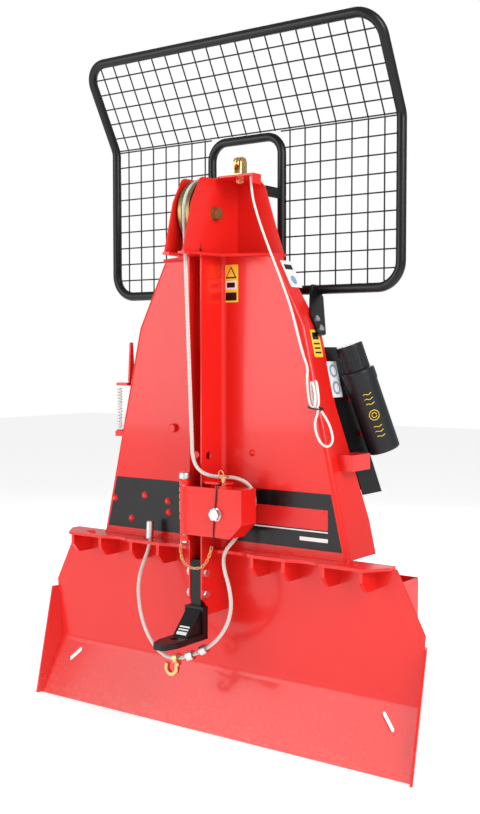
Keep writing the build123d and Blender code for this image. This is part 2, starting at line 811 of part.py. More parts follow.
joints = [chain_point(i / link_count) for i in range(link_count)]
free_joints = [
    (x, z) for x, z in joints
    if math.hypot(x - drum_x, z - drum_z) > big + 20 and math.hypot(x, z - input_z) > small + 20
]
with BuildPart() as drive_chain:
    for first, inside, outside in ((0, 7.0, 9.6), (1, 9.6, 12.2)):
        for face in (-outside, inside):
            with BuildSketch(across(chain_y + face)):
                for i in range(first, link_count, 2):
                    (ax, az), (bx, bz) = joints[i], joints[(i + 1) % link_count]
                    angle = math.degrees(math.atan2(bz - az, bx - ax))
                    with Locations(Location(((ax + bx) / 2, (az + bz) / 2), angle)):
                        SlotCenterToCenter(math.hypot(bx - ax, bz - az), 20)
            extrude(amount=-2.6)
    for face in (-13.4, 7.0):
        with BuildSketch(across(chain_y + face)):
            with Locations(*joints):
                Circle(4)
        extrude(amount=-6.4)
    with BuildSketch(across(chain_y - 7)):
        with Locations(*free_joints):
            Circle(chain_roller_radius)
    extrude(amount=-14)
save(drive_chain, "drive_chain")

with BuildPart() as drive_plate:
    # front plate: carries the drum's shaft and the input bearing
    top_link_z = hitch_height + mast_height
    shape = [(-92, 452), (92, 452), (250, 800), (250, 1040), (150, top_link_z + 44), (-92, top_link_z + 44)]
    extrude(outline(across(drive_plate_y), shape), amount=-drive_plate_sheet)
    extrude(disc(across(drive_plate_y - 1), (0, input_z), 24), amount=-drive_plate_sheet - 2, mode=Mode.SUBTRACT)
    # rear plate for the input shaft's inner bearing
    extrude(slab(across(50), (-80, 450), (80, 590)), amount=-8)
    extrude(disc(across(49), (0, input_z), 24), amount=-10, mode=Mode.SUBTRACT)
save(drive_plate, "drive_plate")

with BuildPart() as bearing_housings:
    for face in (drive_plate_y + drive_plate_sheet, 58):
        with BuildSketch(across(face)):
            with Locations((0, input_z)):
                Circle(38)
                RectangleRounded(112, 44, 20)
                Circle(input_radius + running_clearance, mode=Mode.SUBTRACT)
        extrude(amount=-12)
        extrude(disc(across(face + 12), (0, input_z), 30, input_radius + running_clearance), amount=-10)
        for place in (-45, 45):
            extrude(hexagon(across(face + 12), (place, input_z), 19), amount=-8)
save(bearing_housings, "bearing_housings")

with BuildPart() as brake_band:
    # lined band round the drum's rim, open at the left, with an anchor lug
    with BuildSketch(across(drum_low_y - 24)):
        with Locations((drum_x, drum_z)):
            Circle(124)
            Circle(119, mode=Mode.SUBTRACT)
            with Locations((-122, 0)):
                Rectangle(40, 30, mode=Mode.SUBTRACT)
        for z in (drum_z + 15, drum_z - 23):
            with Locations((drum_x - 136, z + 4)):
                Rectangle(32, 8)
    extrude(amount=-20)
save(brake_band, "brake_band")

with BuildPart() as clutch_lever:
    # release ring beside the sprocket's hub, with a long arm to the pull rope
    with BuildSketch(across(chain_y + 15)):
        with Locations((drum_x, drum_z)):
            Circle(34)
        with BuildLine():
            Polyline((drum_x, drum_z - 16), (362, 984), (372, 1004), (drum_x, drum_z + 22), close=True)
        make_face()
        with Locations((354, 990)):
            Circle(7, mode=Mode.SUBTRACT)
        with Locations((drum_x, drum_z)):
            Circle(bore, mode=Mode.SUBTRACT)
    extrude(amount=-8)
    extrude(disc(across(chain_y + 23), (drum_x, drum_z), 34, bore), amount=-11)
save(clutch_lever, "clutch_lever")

# Brake lever on the tower's left side, with its return spring below.
brake_pivot_y, brake_pivot_z = -8, 1150
brake_x = -tower_half(brake_pivot_z) - 16
spring_x = brake_x - 40
spring_y = -32
spring_low, spring_high = 985, 1128
with BuildPart() as brake_lever:
    arm = [(-20, 1136), (4, 1136), (6, 1164), (-2, 1290), (-14, 1290), (-22, 1164)]
    extrude(outline(side(brake_x - 3), arm, 4), amount=-7)
    extrude(disc(side(brake_x - 10), (brake_pivot_y, brake_pivot_z), 7), amount=13)
    # foot that reaches out to the spring
    extrude(slab(side(spring_x - 12), (spring_y - 5, 1138), (-10, 1148)), amount=brake_x - 3 - spring_x + 12)
save(brake_lever, "brake_lever")

with BuildPart() as brake_spring:
    turns = 14
    with BuildLine() as coil:
        Helix(pitch=(spring_high - spring_low) / turns, height=spring_high - spring_low, radius=9,
              center=(spring_x, spring_y, spring_low))
    with BuildSketch(Plane(origin=coil.line @ 0, z_dir=coil.line % 0)):
        Circle(1.8)
    sweep(path=coil.line, is_frenet=True)
save(brake_spring, "brake_spring")

# Small lugs welded to the tower: brake pivot boss, spring anchor and a domed pin.
with BuildPart() as tower_lugs:
    extrude(disc(side(brake_x + 3), (brake_pivot_y, brake_pivot_z), 14), amount=30)
    extrude(slab(side(spring_x - 12), (spring_y - 12, spring_low - 26), (spring_y + 12, spring_low - 8)), amount=50)
    extrude(slab(side(spring_x - 12), (spring_y - 4, spring_low - 10), (spring_y + 4, spring_low - 3)), amount=24)
    add(tower_form.part.mirror(Plane.YZ), mode=Mode.SUBTRACT)
    extrude(disc(across(tower_rear - 14), (-181, 998), 15), amount=-14)
    fillet(tower_lugs.edges().filter_by(GeomType.CIRCLE).group_by(Axis.Y)[0], 6)
save(tower_lugs, "tower_lugs")

# ---------------------------------------------------------------- guard, cross members and hitch
guard_top, guard_low = 1272, 800
guard_top_y, guard_low_y = 130, 238
guard_sheet = 3
with BuildPart() as drum_guard:
    # a leaning cover over the tower's open front, hollow towards the drum and open below
    shape = [(58, guard_top), (guard_top_y, guard_top), (guard_low_y, guard_low), (116, guard_low), (88, 940), (58, 1090)]
    extrude(outline(side(0), shape), amount=tower_base_half)
    extrude(outline(Plane.XZ, tower_outline(-1, guard_low - 50, guard_top + 50)), amount=600, both=True,
            mode=Mode.INTERSECT)
    hidden = [(0, guard_top - guard_sheet), (guard_top_y - guard_sheet, guard_top - guard_sheet),
              (guard_low_y - guard_sheet, guard_low - 20), (0, guard_low - 20)]
    extrude(outline(side(-1), hidden), amount=tower_half(guard_top) - guard_sheet, mode=Mode.SUBTRACT)
    inner = tower_outline(guard_sheet - 1, guard_low - 50, guard_top - guard_sheet)
    cut = extrude(outline(Plane.XZ, inner), amount=600, both=True, mode=Mode.PRIVATE)
    add(cut & extrude(outline(side(-1), hidden), amount=900, mode=Mode.PRIVATE), mode=Mode.SUBTRACT)
    # window for the top link
    extrude(slab(Plane.XZ, (-1, top_link_z - 62), (58, top_link_z + 62)), amount=-600, mode=Mode.SUBTRACT)
    mirror(about=Plane.YZ)
save(drum_guard, "drum_guard")

tie_front = drive_plate_y - 6
with BuildPart() as cross_members:
    # beam behind the blade and channel under the input shaft, both between the hitch plates
    for low, high in (((blade_front, 262), (blade_front + 96, 358)), ((blade_front, 390), (drive_plate_y, 450))):
        extrude(slab(side(-hitch_plate_half), low, high, 6), amount=2 * hitch_plate_half)
        inner_low, inner_high = (low[0] + 6, low[1] + 6), (high[0] - 6, high[1] - 6)
        extrude(slab(side(-hitch_plate_half - 1), inner_low, inner_high), amount=2 * hitch_plate_half + 2,
                mode=Mode.SUBTRACT)
    # tie across the tower's open front, above the drum, cut to the slope of its sides
    with BuildPart(mode=Mode.PRIVATE) as tie:
        tie_half = tower_half(1120)
        extrude(slab(side(0), (55.5, 1120), (tie_front, 1180), 5), amount=tie_half)
        extrude(slab(side(-1), (61, 1126), (tie_front - 6, 1174)), amount=tie_half + 2, mode=Mode.SUBTRACT)
        extrude(outline(Plane.XZ, tower_outline(tower_sheet, 1100, 1200)), amount=600, both=True, mode=Mode.INTERSECT)
        mirror(about=Plane.YZ)
    add(tie.part)
save(cross_members, "cross_members")

pin_outer = hitch_plate_half + hitch_plate_sheet
with BuildPart() as hitch_plates:
    # side plate with a boss round the lower pin
    with BuildSketch(side(hitch_plate_half)):
        with BuildLine():
            Polyline(
                (blade_front, 240),
                (70, 240),
                (stand_y + 60, 330),
                (hitch_y + 44, hitch_height - 20),
                (hitch_y + 44, hitch_height + 44),
                (hitch_y - 60, hitch_height + 50),
                (90, 560),
                (blade_front, 596),
                close=True,
            )
        make_face()
        with Locations((hitch_y, hitch_height)):
            Circle(lower_pin_radius, mode=Mode.SUBTRACT)
    extrude(amount=hitch_plate_sheet)
    fillet(hitch_plates.edges().filter_by(Axis.X).group_by(Axis.Y)[-1], 30)
    # ears of the top link
    ear = [(drive_plate_y + drive_plate_sheet, top_link_z - 56), (hitch_y - 20, top_link_z - 30), (hitch_y, top_link_z - 26),
           (hitch_y, top_link_z + 26), (hitch_y - 20, top_link_z + 30), (drive_plate_y + drive_plate_sheet, top_link_z + 44)]
    extrude(outline(side(top_link_gap / 2), ear), amount=12)
    extrude(disc(side(0), (hitch_y - 26, top_link_z), top_pin_radius + running_clearance), amount=60, mode=Mode.SUBTRACT)
    mirror(about=Plane.YZ)
save(hitch_plates, "hitch_plates")

ball_centre = hitch_spread / 2
with BuildPart() as lower_pins:
    # cantilevered pins with a shoulder, a nut inside the plate and a hole for the linch pin
    extrude(disc(side(hitch_plate_half - 26), (hitch_y, hitch_height), lower_pin_radius), amount=26 + hitch_plate_sheet + 92)
    extrude(disc(side(pin_outer), (hitch_y, hitch_height), 24), amount=4)
    extrude(hexagon(side(hitch_plate_half - 18), (hitch_y, hitch_height), 46), amount=18)
    extrude(disc(level(hitch_height - 50), (pin_outer + 78, hitch_y), 6), amount=100, mode=Mode.SUBTRACT)
    mirror(about=Plane.YZ)
save(lower_pins, "lower_pins")

with BuildPart() as top_link_pin:
    grip = top_link_gap / 2 + 12
    centre = (hitch_y - 26, top_link_z)
    extrude(disc(side(-grip - 22), centre, top_pin_radius), amount=2 * grip + 22 + 1)
    extrude(disc(side(grip + 1), centre, 20), amount=8)
    with BuildSketch(Plane(origin=(grip + 9, centre[0], centre[1]), z_dir=(1, 0, 0))):
        Circle(5)
    extrude(amount=14)
    extrude(slab(side(grip + 23), (centre[0] - 26, centre[1] - 5), (centre[0] + 26, centre[1] + 5), 4), amount=9)
save(top_link_pin, "top_link_pin")

with BuildPart() as side_trays:
    # open trays for chains behind the blade
    extrude(slab(level(tray_low), (tray_inner, blade_front), (tray_outer, tray_front), 6), amount=tray_high - tray_low)
    inner_low = (tray_inner + tray_sheet, blade_front + tray_sheet)
    inner_high = (tray_outer - tray_sheet, tray_front - tray_sheet)
    extrude(slab(level(tray_low + tray_sheet), inner_low, inner_high, 3), amount=tray_high, mode=Mode.SUBTRACT)
    # bar from the hitch plate that holds the tray's front end
    extrude(slab(side(pin_outer), (96, 470), (136, 520)), amount=tray_inner - pin_outer)
    mirror(about=Plane.YZ)
save(side_trays, "side_trays")

stand_x = hitch_plate_half - stand_tube / 2 - 1
inner_tube = stand_tube - 2 * stand_wall - 2 * stand_gap
with BuildPart() as stand_sleeves:
    extrude(slab(level(250), (stand_x - 25, stand_y - 25), (stand_x + 25, stand_y + 25), 4), amount=180)
    hole = stand_tube / 2 - stand_wall
    extrude(slab(level(240), (stand_x - hole, stand_y - hole), (stand_x + hole, stand_y + hole), 2), amount=210,
            mode=Mode.SUBTRACT)
    extrude(slab(level(250), (stand_x + 25, stand_y - 20), (hitch_plate_half, stand_y + 20)), amount=180)
    mirror(about=Plane.YZ)
save(stand_sleeves, "stand_sleeves")

with BuildPart() as stand_leg_right:
    half = inner_tube / 2
    extrude(slab(level(10), (stand_x - half, stand_y - half), (stand_x + half, stand_y + half), 2), amount=390)
    extrude(slab(level(9), (stand_x - half + 4, stand_y - half + 4), (stand_x + half - 4, stand_y + half - 4), 1), amount=395,
            mode=Mode.SUBTRACT)
    extrude(slab(Plane.XY, (stand_x - 55, stand_y - 45), (stand_x + 55, stand_y + 45), 12), amount=10)
    for z in (70, 120, 170):
        extrude(disc(across(stand_y - 40), (stand_x, z), 7), amount=-80, mode=Mode.SUBTRACT)
save(stand_leg_right, "stand_leg_right")

with BuildPart() as stand_leg_left:
    mirror(stand_leg_right.part, about=Plane.YZ)
save(stand_leg_left, "stand_leg_left")

with BuildPart() as pto_guard:
    # flared cup round the splined end, bolted to the drive plate
    with BuildSketch(Plane.XY):
        with BuildLine():
            Polyline(
                (drive_plate_y + drive_plate_sheet, 66),
                (drive_plate_y + drive_plate_sheet, 104),
                (drive_plate_y + drive_plate_sheet + 4, 104),
                (drive_plate_y + drive_plate_sheet + 4, 88),
                (front_limit - 50, 100),
                (front_limit - 8, 118),
                (front_limit - 8, 113),
                (front_limit - 50, 95.5),
                (drive_plate_y + drive_plate_sheet + 4, 83),
                (drive_plate_y + drive_plate_sheet + 4, 66),
                close=True,
            )
        make_face()
    revolve(axis=Axis.X)
pto_guard.part = pto_guard.part.rotate(Axis.Z, 90).moved(Location((0, 0, input_z)))
save(pto_guard, "pto_guard")

# ---------------------------------------------------------------- ball mount in the foot of the slot
ball_bar_half = column_half - 1.5
with BuildPart() as ball_mount:
    extrude(slab(level(432), (-ball_bar_half, -158), (ball_bar_half, -128), 2), amount=150)
    extrude(slab(across(-168), (-37.5, 345), (37.5, 432), 3), amount=-26)
    with BuildSketch(level(325)):
        with BuildLine():
            Polyline((-37.5, -142), (37.5, -142), (37.5, -300), (22, -350), (-22, -350), (-37.5, -300), close=True)
        make_face()
        fillet([v for v in vertices() if v.Y < -290], 14)
        with Locations((0, -268)):
            Circle(13.5, mode=Mode.SUBTRACT)
    extrude(amount=20)
    # sloping neck between the block and the platform
    extrude(outline(side(-30), [(-160, 345), (-160, 424), (-168, 424), (-196, 392), (-240, 345)]), amount=60)
save(ball_mount, "ball_mount")

# ---------------------------------------------------------------- document canister on the right
canister_axis = (canister_top - canister_bottom).normalized()
canister_length = (canister_top - canister_bottom).length
canister_plane = Plane(origin=canister_bottom, x_dir=(0, 1, 0), z_dir=canister_axis)
body_length = canister_length - 84
neck_length = 26
collar_length = 42
with BuildPart() as canister_body:
    with BuildSketch(canister_plane):
        Circle(canister_radius)
    extrude(amount=body_length)
    fillet(canister_body.edges().sort_by(lambda e: e.center().Z)[0], 8)
    # wider collar under the cap
    with BuildSketch(canister_plane.offset(body_length - collar_length)):
        Circle(canister_radius + 2.5)
    extrude(amount=collar_length)
    fillet(canister_body.edges().filter_by(GeomType.CIRCLE).sort_by(lambda e: e.center().Z)[-1], 10)
    with BuildSketch(canister_plane.offset(body_length)):
        Circle(canister_cap_radius - 6)
    extrude(amount=neck_length)
    with BuildSketch(canister_plane.offset(5)):
        Circle(canister_cap_radius - 9)
    extrude(amount=canister_length, mode=Mode.SUBTRACT)
save(canister_body, "canister_body")

with BuildPart() as canister_cap:
    with BuildSketch(canister_plane.offset(body_length + 1)):
        Circle(canister_cap_radius)
    extrude(amount=canister_length - body_length - 1)
    fillet(canister_cap.edges().sort_by(lambda e: e.center().Z)[-1], 5)
    with BuildSketch(canister_plane.offset(body_length)):
        Circle(canister_cap_radius - 5.5)
    extrude(amount=neck_length + 4, mode=Mode.SUBTRACT)
    # grip grooves
    with BuildSketch(canister_plane.offset(body_length + 8)):
        with PolarLocations(canister_cap_radius + 1, 24):
            Circle(2.4)
    extrude(amount=canister_length - body_length - 22, mode=Mode.SUBTRACT)
save(canister_cap, "canister_cap")

with BuildPart() as canister_bracket:
    # red step on the tower's side under the canister, and two saddles it is bolted to
    base_x = tower_half(885) + 1
    step = [(base_x, 885), (base_x + 44, 885), (base_x + 44, 936), (tower_half(936) + 1, 936)]
    extrude(outline(across(6), step), amount=-110)
    for along in (0.16, 0.6):
        place = canister_bottom + canister_axis * (along * body_length + 13)
        arm_low = (tower_half(place.Z - 10) + 1.5, place.Z - 10)
        extrude(slab(across(place.Y - 14), arm_low, (place.X - canister_radius + 6, place.Z + 10)), amount=-28)
    with BuildSketch(canister_plane.offset(-20)):
        Circle(canister_radius)
    extrude(amount=canister_length, mode=Mode.SUBTRACT)
save(canister_bracket, "canister_bracket")

# ---------------------------------------------------------------- fasteners
with BuildPart() as frame_bolts:
    # screen legs, head straps and ball mount
    for place in leg_bolts:
        extrude(hexagon(leg_plane.offset(leg_sheet), place, 19), amount=8)
    extrude(hexagon(across(head_front + 16), (129, (strap_low + strap_high) / 2), 17), amount=-7)
    for z in (470, 540):
        extrude(hexagon(side(column_half + tower_sheet), (-143, z), 24), amount=10)
    mirror(about=Plane.YZ)
save(frame_bolts, "frame_bolts")

# ---------------------------------------------------------------- ropes
def route_radii(points):
    """Radius of the arc at each inner point: 0.45 of the shorter run over the tangent of half the turn."""
    radii = []
    for before, here, after in zip(points, points[1:], points[2:]):
        first, second = Vector(here) - Vector(before), Vector(after) - Vector(here)
        turn = math.radians(first.get_angle(second))
        radii.append(0.45 * min(first.length, second.length) / math.tan(turn / 2))
    return radii


def check_route(name, points, radii, diameter):
    lengths = [(Vector(b) - Vector(a)).length for a, b in zip(points, points[1:])]
    print(name, "radii", [round(r) for r in radii], "runs", [round(n) for n in lengths])
    print(name, "tightest", round(min(radii), 1), "diameters", round(min(radii) / diameter, 1))


def report_cord(name, line, tube, diameter):
    length = line.wires()[0].length
    share = tube.part.volume / (math.pi * diameter**2 / 4 * length)
    print(name, "length", round(length), "volume over section times length", round(share, 5))


# Main rope: from the drum up over the head's sheave, down the slot, over and behind the lower
# block, down in a loop past the hook, and up to its end in a chain slot.
def sheave_corners(before, after):
    """Corners of a rope's route over the head's sheave, between the points before and after it."""
    centre = Vector(0, upper_sheave_y, upper_sheave_z)
    turns = []
    for point, way in ((Vector(*before), 1), (Vector(*after), -1)):
        gap = point - centre
        turns.append(math.atan2(gap.Z, gap.Y) % (2 * math.pi) + way * math.acos(upper_sheave_radius / gap.length))
    start, end = turns[0] % (2 * math.pi), turns[1]
    step = (end - start) / 3
    out = upper_sheave_radius / math.cos(step / 2)
    angles = [start + step * (i + 0.5) for i in range(3)]
    return [tuple(centre + Vector(0, out * math.cos(a), out * math.sin(a))) for a in angles]


rope_rise = (0, 26, 962)
rope_fall = (0, -173, 916)
main_route = [
    rope_rise,
    *sheave_corners(rope_rise, rope_fall),
    rope_fall,
    (19, -171, 880),
    (54, -163, 861),
    (98, -144, 856),
    (135, -127, 857),
    (166, -106, 842),
    (183, -91, 811),
    (184, -84, 775),
    (171, -81, 738),
    (149, -86, 698),
    (121, -107, 654),
    (98, -138, 612),
    (116, -160, 566),
    (142, -166, 512),
    (153, -168, 454),
    (141, -169, 398),
    (112, -172, 350),
    (72, -175, 312),
    (26, -182, 284),
    (-26, -190, 262),
    (-78, -192, 252),
    (-128, -188, 264),
    (-176, -180, 298),
    (-216, -170, 346),
    (-242, -160, 404),
    (-255, -150, 464),
    (-258, -132, 514),
    (-257, -108, 556),
    (-255, -91, 588),
    (-255, -89, 616),
]
main_radii = route_radii(main_route)
for i in range(3):
    main_radii[i] = upper_sheave_radius - 0.4
check_route("main rope", main_route, main_radii, rope_diameter)
with BuildPart() as main_rope:
    with BuildLine() as main_line:
        FilletPolyline(*main_route, radius=main_radii)
    with BuildSketch(Plane(origin=main_line.line @ 0, z_dir=main_line.line % 0)):
        Circle(rope_diameter / 2)
    sweep(path=main_line.line)
report_cord("main rope", main_line, main_rope, rope_diameter)
save(main_rope, "main_rope")

rope_end = Vector(*main_route[-1])
end_line = (rope_end - Vector(*main_route[-2])).normalized()
with BuildPart() as rope_fittings:
    # end ferrule that locks in a chain slot
    with BuildSketch(Plane(origin=rope_end, z_dir=end_line)):
        Circle(13)
    extrude(amount=62)
    chamfer(rope_fittings.edges().filter_by(GeomType.CIRCLE), 2.5)
    # chain sliders on the loop
    for i in (21, 22):
        before, after = Vector(*main_route[i]), Vector(*main_route[i + 1])
        middle, line = (before + after) * 0.5, (after - before).normalized()
        with BuildSketch(Plane(origin=middle - line * 11, z_dir=line)):
            Circle(16)
            Circle(rope_diameter / 2 + 2.2, mode=Mode.SUBTRACT)
        extrude(amount=22)
save(rope_fittings, "rope_fittings")

# Choker hook: an eye round the rope and a hook that curls below it.
eye_centre = (Vector(*main_route[23]) + Vector(*main_route[24])) * 0.5
eye_line = (Vector(*main_route[24]) - Vector(*main_route[23])).normalized()
with BuildPart() as rope_hook:
    eye_plane = Plane(origin=eye_centre - eye_line * 8, x_dir=(0, 0, -1), z_dir=eye_line)
    with BuildSketch(eye_plane):
        Circle(17)
        with Locations((16, 0)):
            Rectangle(16, 15)
        Circle(rope_diameter / 2 + 3, mode=Mode.SUBTRACT)
    extrude(amount=16)
    hook_start = eye_centre + Vector(0, 0, -20)
    with BuildLine() as hook_line:
        FilletPolyline(
            hook_start,
            hook_start + Vector(0, 0, -22),
            hook_start + Vector(-24, 0, -42),
            hook_start + Vector(-44, 0, -20),
            hook_start + Vector(-40, 0, 0),
            radius=[10, 16, 12],
        )
    with BuildSketch(Plane(origin=hook_start, z_dir=(0, 0, -1))):
        RectangleRounded(13, 16, 4)
    sweep(path=hook_line.line)
save(rope_hook, "rope_hook")

# Control rope: from the guide down beside the tower's right fold to a tied hank.
hank_top = 1176
hank_tie = 1076
control_route = [
    (168, -85, head_top),
    (171, -86, 1764),
    (184, -86, 1714),
    (206, -84, 1652),
    (230, -78, 1588),
    (252, -68, 1526),
    (276, -60, 1462),
    (302, -56, 1394),
    (322, -55, 1326),
    (336, -55, 1278),
    (351, -57, 1240),
    (368, -60, 1206),
    (368, -60, hank_top),
]
control_radii = route_radii(control_route)
check_route("control rope", control_route, control_radii, control_rope_diameter)
with BuildPart() as control_rope:
    with BuildLine() as control_line:
        FilletPolyline(*control_route, radius=control_radii)
    with BuildSketch(Plane(origin=control_line.line @ 0, z_dir=control_line.line % 0)):
        Circle(control_rope_diameter / 2)
    sweep(path=control_line.line)
report_cord("control rope", control_line, control_rope, control_rope_diameter)
save(control_rope, "control_rope")

# The hank: a flat folded bundle, and below its tie an open loop.
with BuildPart() as control_rope_hank:
    with BuildSketch(level(hank_top)):
        with Locations((386, -62)):
            RectangleRounded(48, 24, 9)
    extrude(amount=-(hank_top - hank_tie) / math.cos(math.radians(8)), dir=(-math.sin(math.radians(8)), 0, math.cos(math.radians(8))))
    with BuildSketch(across(-69)):
        with Locations((427, 1016)):
            SlotOverall(136, 82, rotation=-67)
            SlotOverall(104, 44, rotation=-67, mode=Mode.SUBTRACT)
    extrude(amount=-15)
save(control_rope_hank, "control_rope_hank")
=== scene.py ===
import bpy
import bmesh
import json
import math
from mathutils import Matrix, Quaternion, Vector, noise


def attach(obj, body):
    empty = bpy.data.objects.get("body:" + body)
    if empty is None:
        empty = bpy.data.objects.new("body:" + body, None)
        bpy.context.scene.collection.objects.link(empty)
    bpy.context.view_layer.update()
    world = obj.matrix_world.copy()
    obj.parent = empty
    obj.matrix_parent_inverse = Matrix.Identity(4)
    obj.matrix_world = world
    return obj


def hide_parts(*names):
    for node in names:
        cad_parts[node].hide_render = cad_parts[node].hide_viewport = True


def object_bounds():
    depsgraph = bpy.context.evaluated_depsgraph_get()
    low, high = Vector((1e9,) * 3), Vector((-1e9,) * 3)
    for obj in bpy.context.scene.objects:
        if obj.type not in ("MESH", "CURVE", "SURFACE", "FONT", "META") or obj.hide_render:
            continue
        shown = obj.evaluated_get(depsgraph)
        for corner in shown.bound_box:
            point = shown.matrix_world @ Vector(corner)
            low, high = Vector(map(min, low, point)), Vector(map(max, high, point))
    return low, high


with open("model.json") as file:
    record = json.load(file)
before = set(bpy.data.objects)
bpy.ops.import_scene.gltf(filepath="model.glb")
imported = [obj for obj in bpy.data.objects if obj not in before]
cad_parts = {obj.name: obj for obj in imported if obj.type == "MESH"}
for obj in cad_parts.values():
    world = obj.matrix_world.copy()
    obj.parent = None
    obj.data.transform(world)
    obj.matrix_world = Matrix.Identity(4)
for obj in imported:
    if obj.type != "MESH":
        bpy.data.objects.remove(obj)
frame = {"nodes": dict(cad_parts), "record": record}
nodes = frame["nodes"]
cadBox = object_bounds()
scene = bpy.context.scene
print("frame loaded:", len(nodes), "nodes")

# camera at standing height, off to the right of the winch's rear
view = {
    "place": (2.238, -2.993, 1.256),
    "look": (-0.587, 0.808, -0.049),
    "lens": 49.5,
}
cameraData = bpy.data.cameras.new("camera")
cameraData.lens = view["lens"]
cameraData.sensor_width = 36
cameraData.clip_end = 60
camera = bpy.data.objects.new("camera", cameraData)
camera.location = view["place"]
camera.rotation_mode = "QUATERNION"
camera.rotation_quaternion = Vector(view["look"]).to_track_quat("-Z", "Y")
scene.collection.objects.link(camera)
scene.camera = camera


# ---- finishes: one class wraps a socket so that shader maths reads as maths
class Sock:
    def __init__(self, finish, out):
        self.finish = finish
        self.out = out

    def maths(self, operation, first, second=0.0):
        return self.finish.add("ShaderNodeMath", {"operation": operation}, {0: first, 1: second})

    def __add__(self, other):
        return self.maths("ADD", self, other)

    def __mul__(self, other):
        return self.maths("MULTIPLY", self, other)


class Finish:
    def __init__(self, name, **fixed):
        self.material = bpy.data.materials.new(name)
        self.material.use_nodes = True
        self.tree = self.material.node_tree
        self.shader = self.tree.nodes["Principled BSDF"]
        for socketName, value in fixed.items():
            self.shader.inputs[socketName.replace("_", " ")].default_value = value
        self.place = self.add("ShaderNodeTexCoord", out="Object")

    def add(self, kind, settings=None, sockets=None, out=0):
        made = self.tree.nodes.new(kind)
        for key, value in (settings or {}).items():
            setattr(made, key, value)
        for key, value in (sockets or {}).items():
            if isinstance(value, Sock):
                self.tree.links.new(value.out, made.inputs[key])
            else:
                made.inputs[key].default_value = value
        return Sock(self, made.outputs[out])

    def noise(self, scale, detail=3.0, roughness=0.5, stretch=None):
        place = self.place
        if stretch:
            place = self.add("ShaderNodeMapping", None, {"Vector": place, "Scale": stretch})
        return self.add("ShaderNodeTexNoise", None,
                        {"Vector": place, "Scale": scale, "Detail": detail, "Roughness": roughness})

    def cells(self, scale):
        return self.add("ShaderNodeTexVoronoi", None, {"Vector": self.place, "Scale": scale}, out="Distance")

    def axis(self, name):
        return self.add("ShaderNodeSeparateXYZ", None, {0: self.place}, out=name)

    def ramp(self, factor, low, high, start=0.0, end=1.0):
        return self.add("ShaderNodeMapRange", {"clamp": True},
                        {"Value": factor, "From Min": low, "From Max": high, "To Min": start, "To Max": end})

    def blend(self, factor, first, second):
        sockets = {0: factor}
        for key, colour in ((6, first), (7, second)):
            sockets[key] = colour if isinstance(colour, Sock) else (*colour, 1)
        return self.add("ShaderNodeMix", {"data_type": "RGBA"}, sockets, out=2)

    def bump(self, height, strength, depth=0.001, under=None):
        sockets = {"Height": height, "Strength": strength, "Distance": depth}
        if under:
            sockets["Normal"] = under
        return self.add("ShaderNodeBump", None, sockets)

    def drive(self, **links):
        for socketName, value in links.items():
            self.tree.links.new(value.out, self.shader.inputs[socketName.replace("_", " ")])
        return self.material


def glossPaint(name, dark, light, rough=0.24):
    made = Finish(name, Coat_Weight=0.22, Coat_Roughness=0.07, Specular_IOR_Level=0.38)
    cloud = made.noise(2.3, 3)
    speck = made.noise(46, 4, 0.62)
    peel = made.noise(420, 2, 0.4)
    # dust and rubbed patches gather near the ground
    low = made.ramp(made.axis("Z"), 0.02, 0.5, 1, 0)
    dust = made.ramp(speck * low, 0.4, 0.72, 0, 0.16)
    # hair scratches that lie level, as from logs dragged against the sheet
    hair = made.noise(22, 5, 0.7, (0.6, 1, 14))
    scratch = made.ramp(hair * low, 0.54, 0.6, 0, 0.3)
    colour = made.blend(cloud, dark, light)
    colour = made.blend(dust, colour, (0.6, 0.12, 0.09))
    colour = made.blend(scratch, colour, (0.84, 0.22, 0.17))
    roughness = made.ramp(speck, 0.2, 0.8, rough - 0.02, rough + 0.04) + dust * 0.35
    return made.drive(Base_Color=colour, Roughness=roughness,
                      Normal=made.bump(scratch, 0.12, 0.0006, made.bump(peel, 0.035, 0.0006)))


def satinPaint(name, dark, light, rough):
    made = Finish(name, Coat_Weight=0.04, Coat_Roughness=0.2, Specular_IOR_Level=0.3)
    cloud = made.noise(5, 4)
    peel = made.noise(520, 2, 0.45)
    scuff = made.ramp(made.noise(30, 5, 0.72), 0.66, 0.78, 0, 0.5)
    colour = made.blend(scuff, made.blend(cloud, dark, light), (0.05, 0.05, 0.052))
    return made.drive(Base_Color=colour, Roughness=made.ramp(cloud, 0.2, 0.8, rough - 0.06, rough + 0.08),
                      Normal=made.bump(peel, 0.09, 0.0008))


def platedMetal(name, first, second, third, rough, grain=160):
    made = Finish(name, Metallic=1.0)
    patches = made.noise(38, 4, 0.6)
    fine = made.noise(grain, 4, 0.6)
    colour = made.blend(made.ramp(patches, 0.35, 0.62), first, second)
    colour = made.blend(made.ramp(fine, 0.58, 0.72, 0, 0.55), colour, third)
    return made.drive(Base_Color=colour, Roughness=made.ramp(fine, 0.25, 0.75, rough - 0.08, rough + 0.12),
                      Normal=made.bump(fine, 0.1, 0.0005))


def turnedSteel(name):
    made = Finish(name, Metallic=1.0)
    oil = made.noise(11, 4, 0.6)
    rings = made.noise(90, 3, 0.5, (1, 9, 1))
    colour = made.blend(made.ramp(oil, 0.35, 0.7), (0.36, 0.355, 0.35), (0.19, 0.175, 0.15))
    return made.drive(Base_Color=colour, Roughness=made.ramp(rings, 0.2, 0.8, 0.26, 0.46),
                      Normal=made.bump(rings, 0.14, 0.0005))


def castMetal(name, dark, light, metallic, rough, grain):
    made = Finish(name, Metallic=metallic)
    sand = made.noise(grain, 4, 0.65)
    patina = made.noise(14, 4, 0.6)
    colour = made.blend(made.ramp(patina, 0.3, 0.7), dark, light)
    return made.drive(Base_Color=colour, Roughness=made.ramp(sand, 0.2, 0.8, rough - 0.08, rough + 0.1),
                      Normal=made.bump(sand, 0.3, 0.0008))


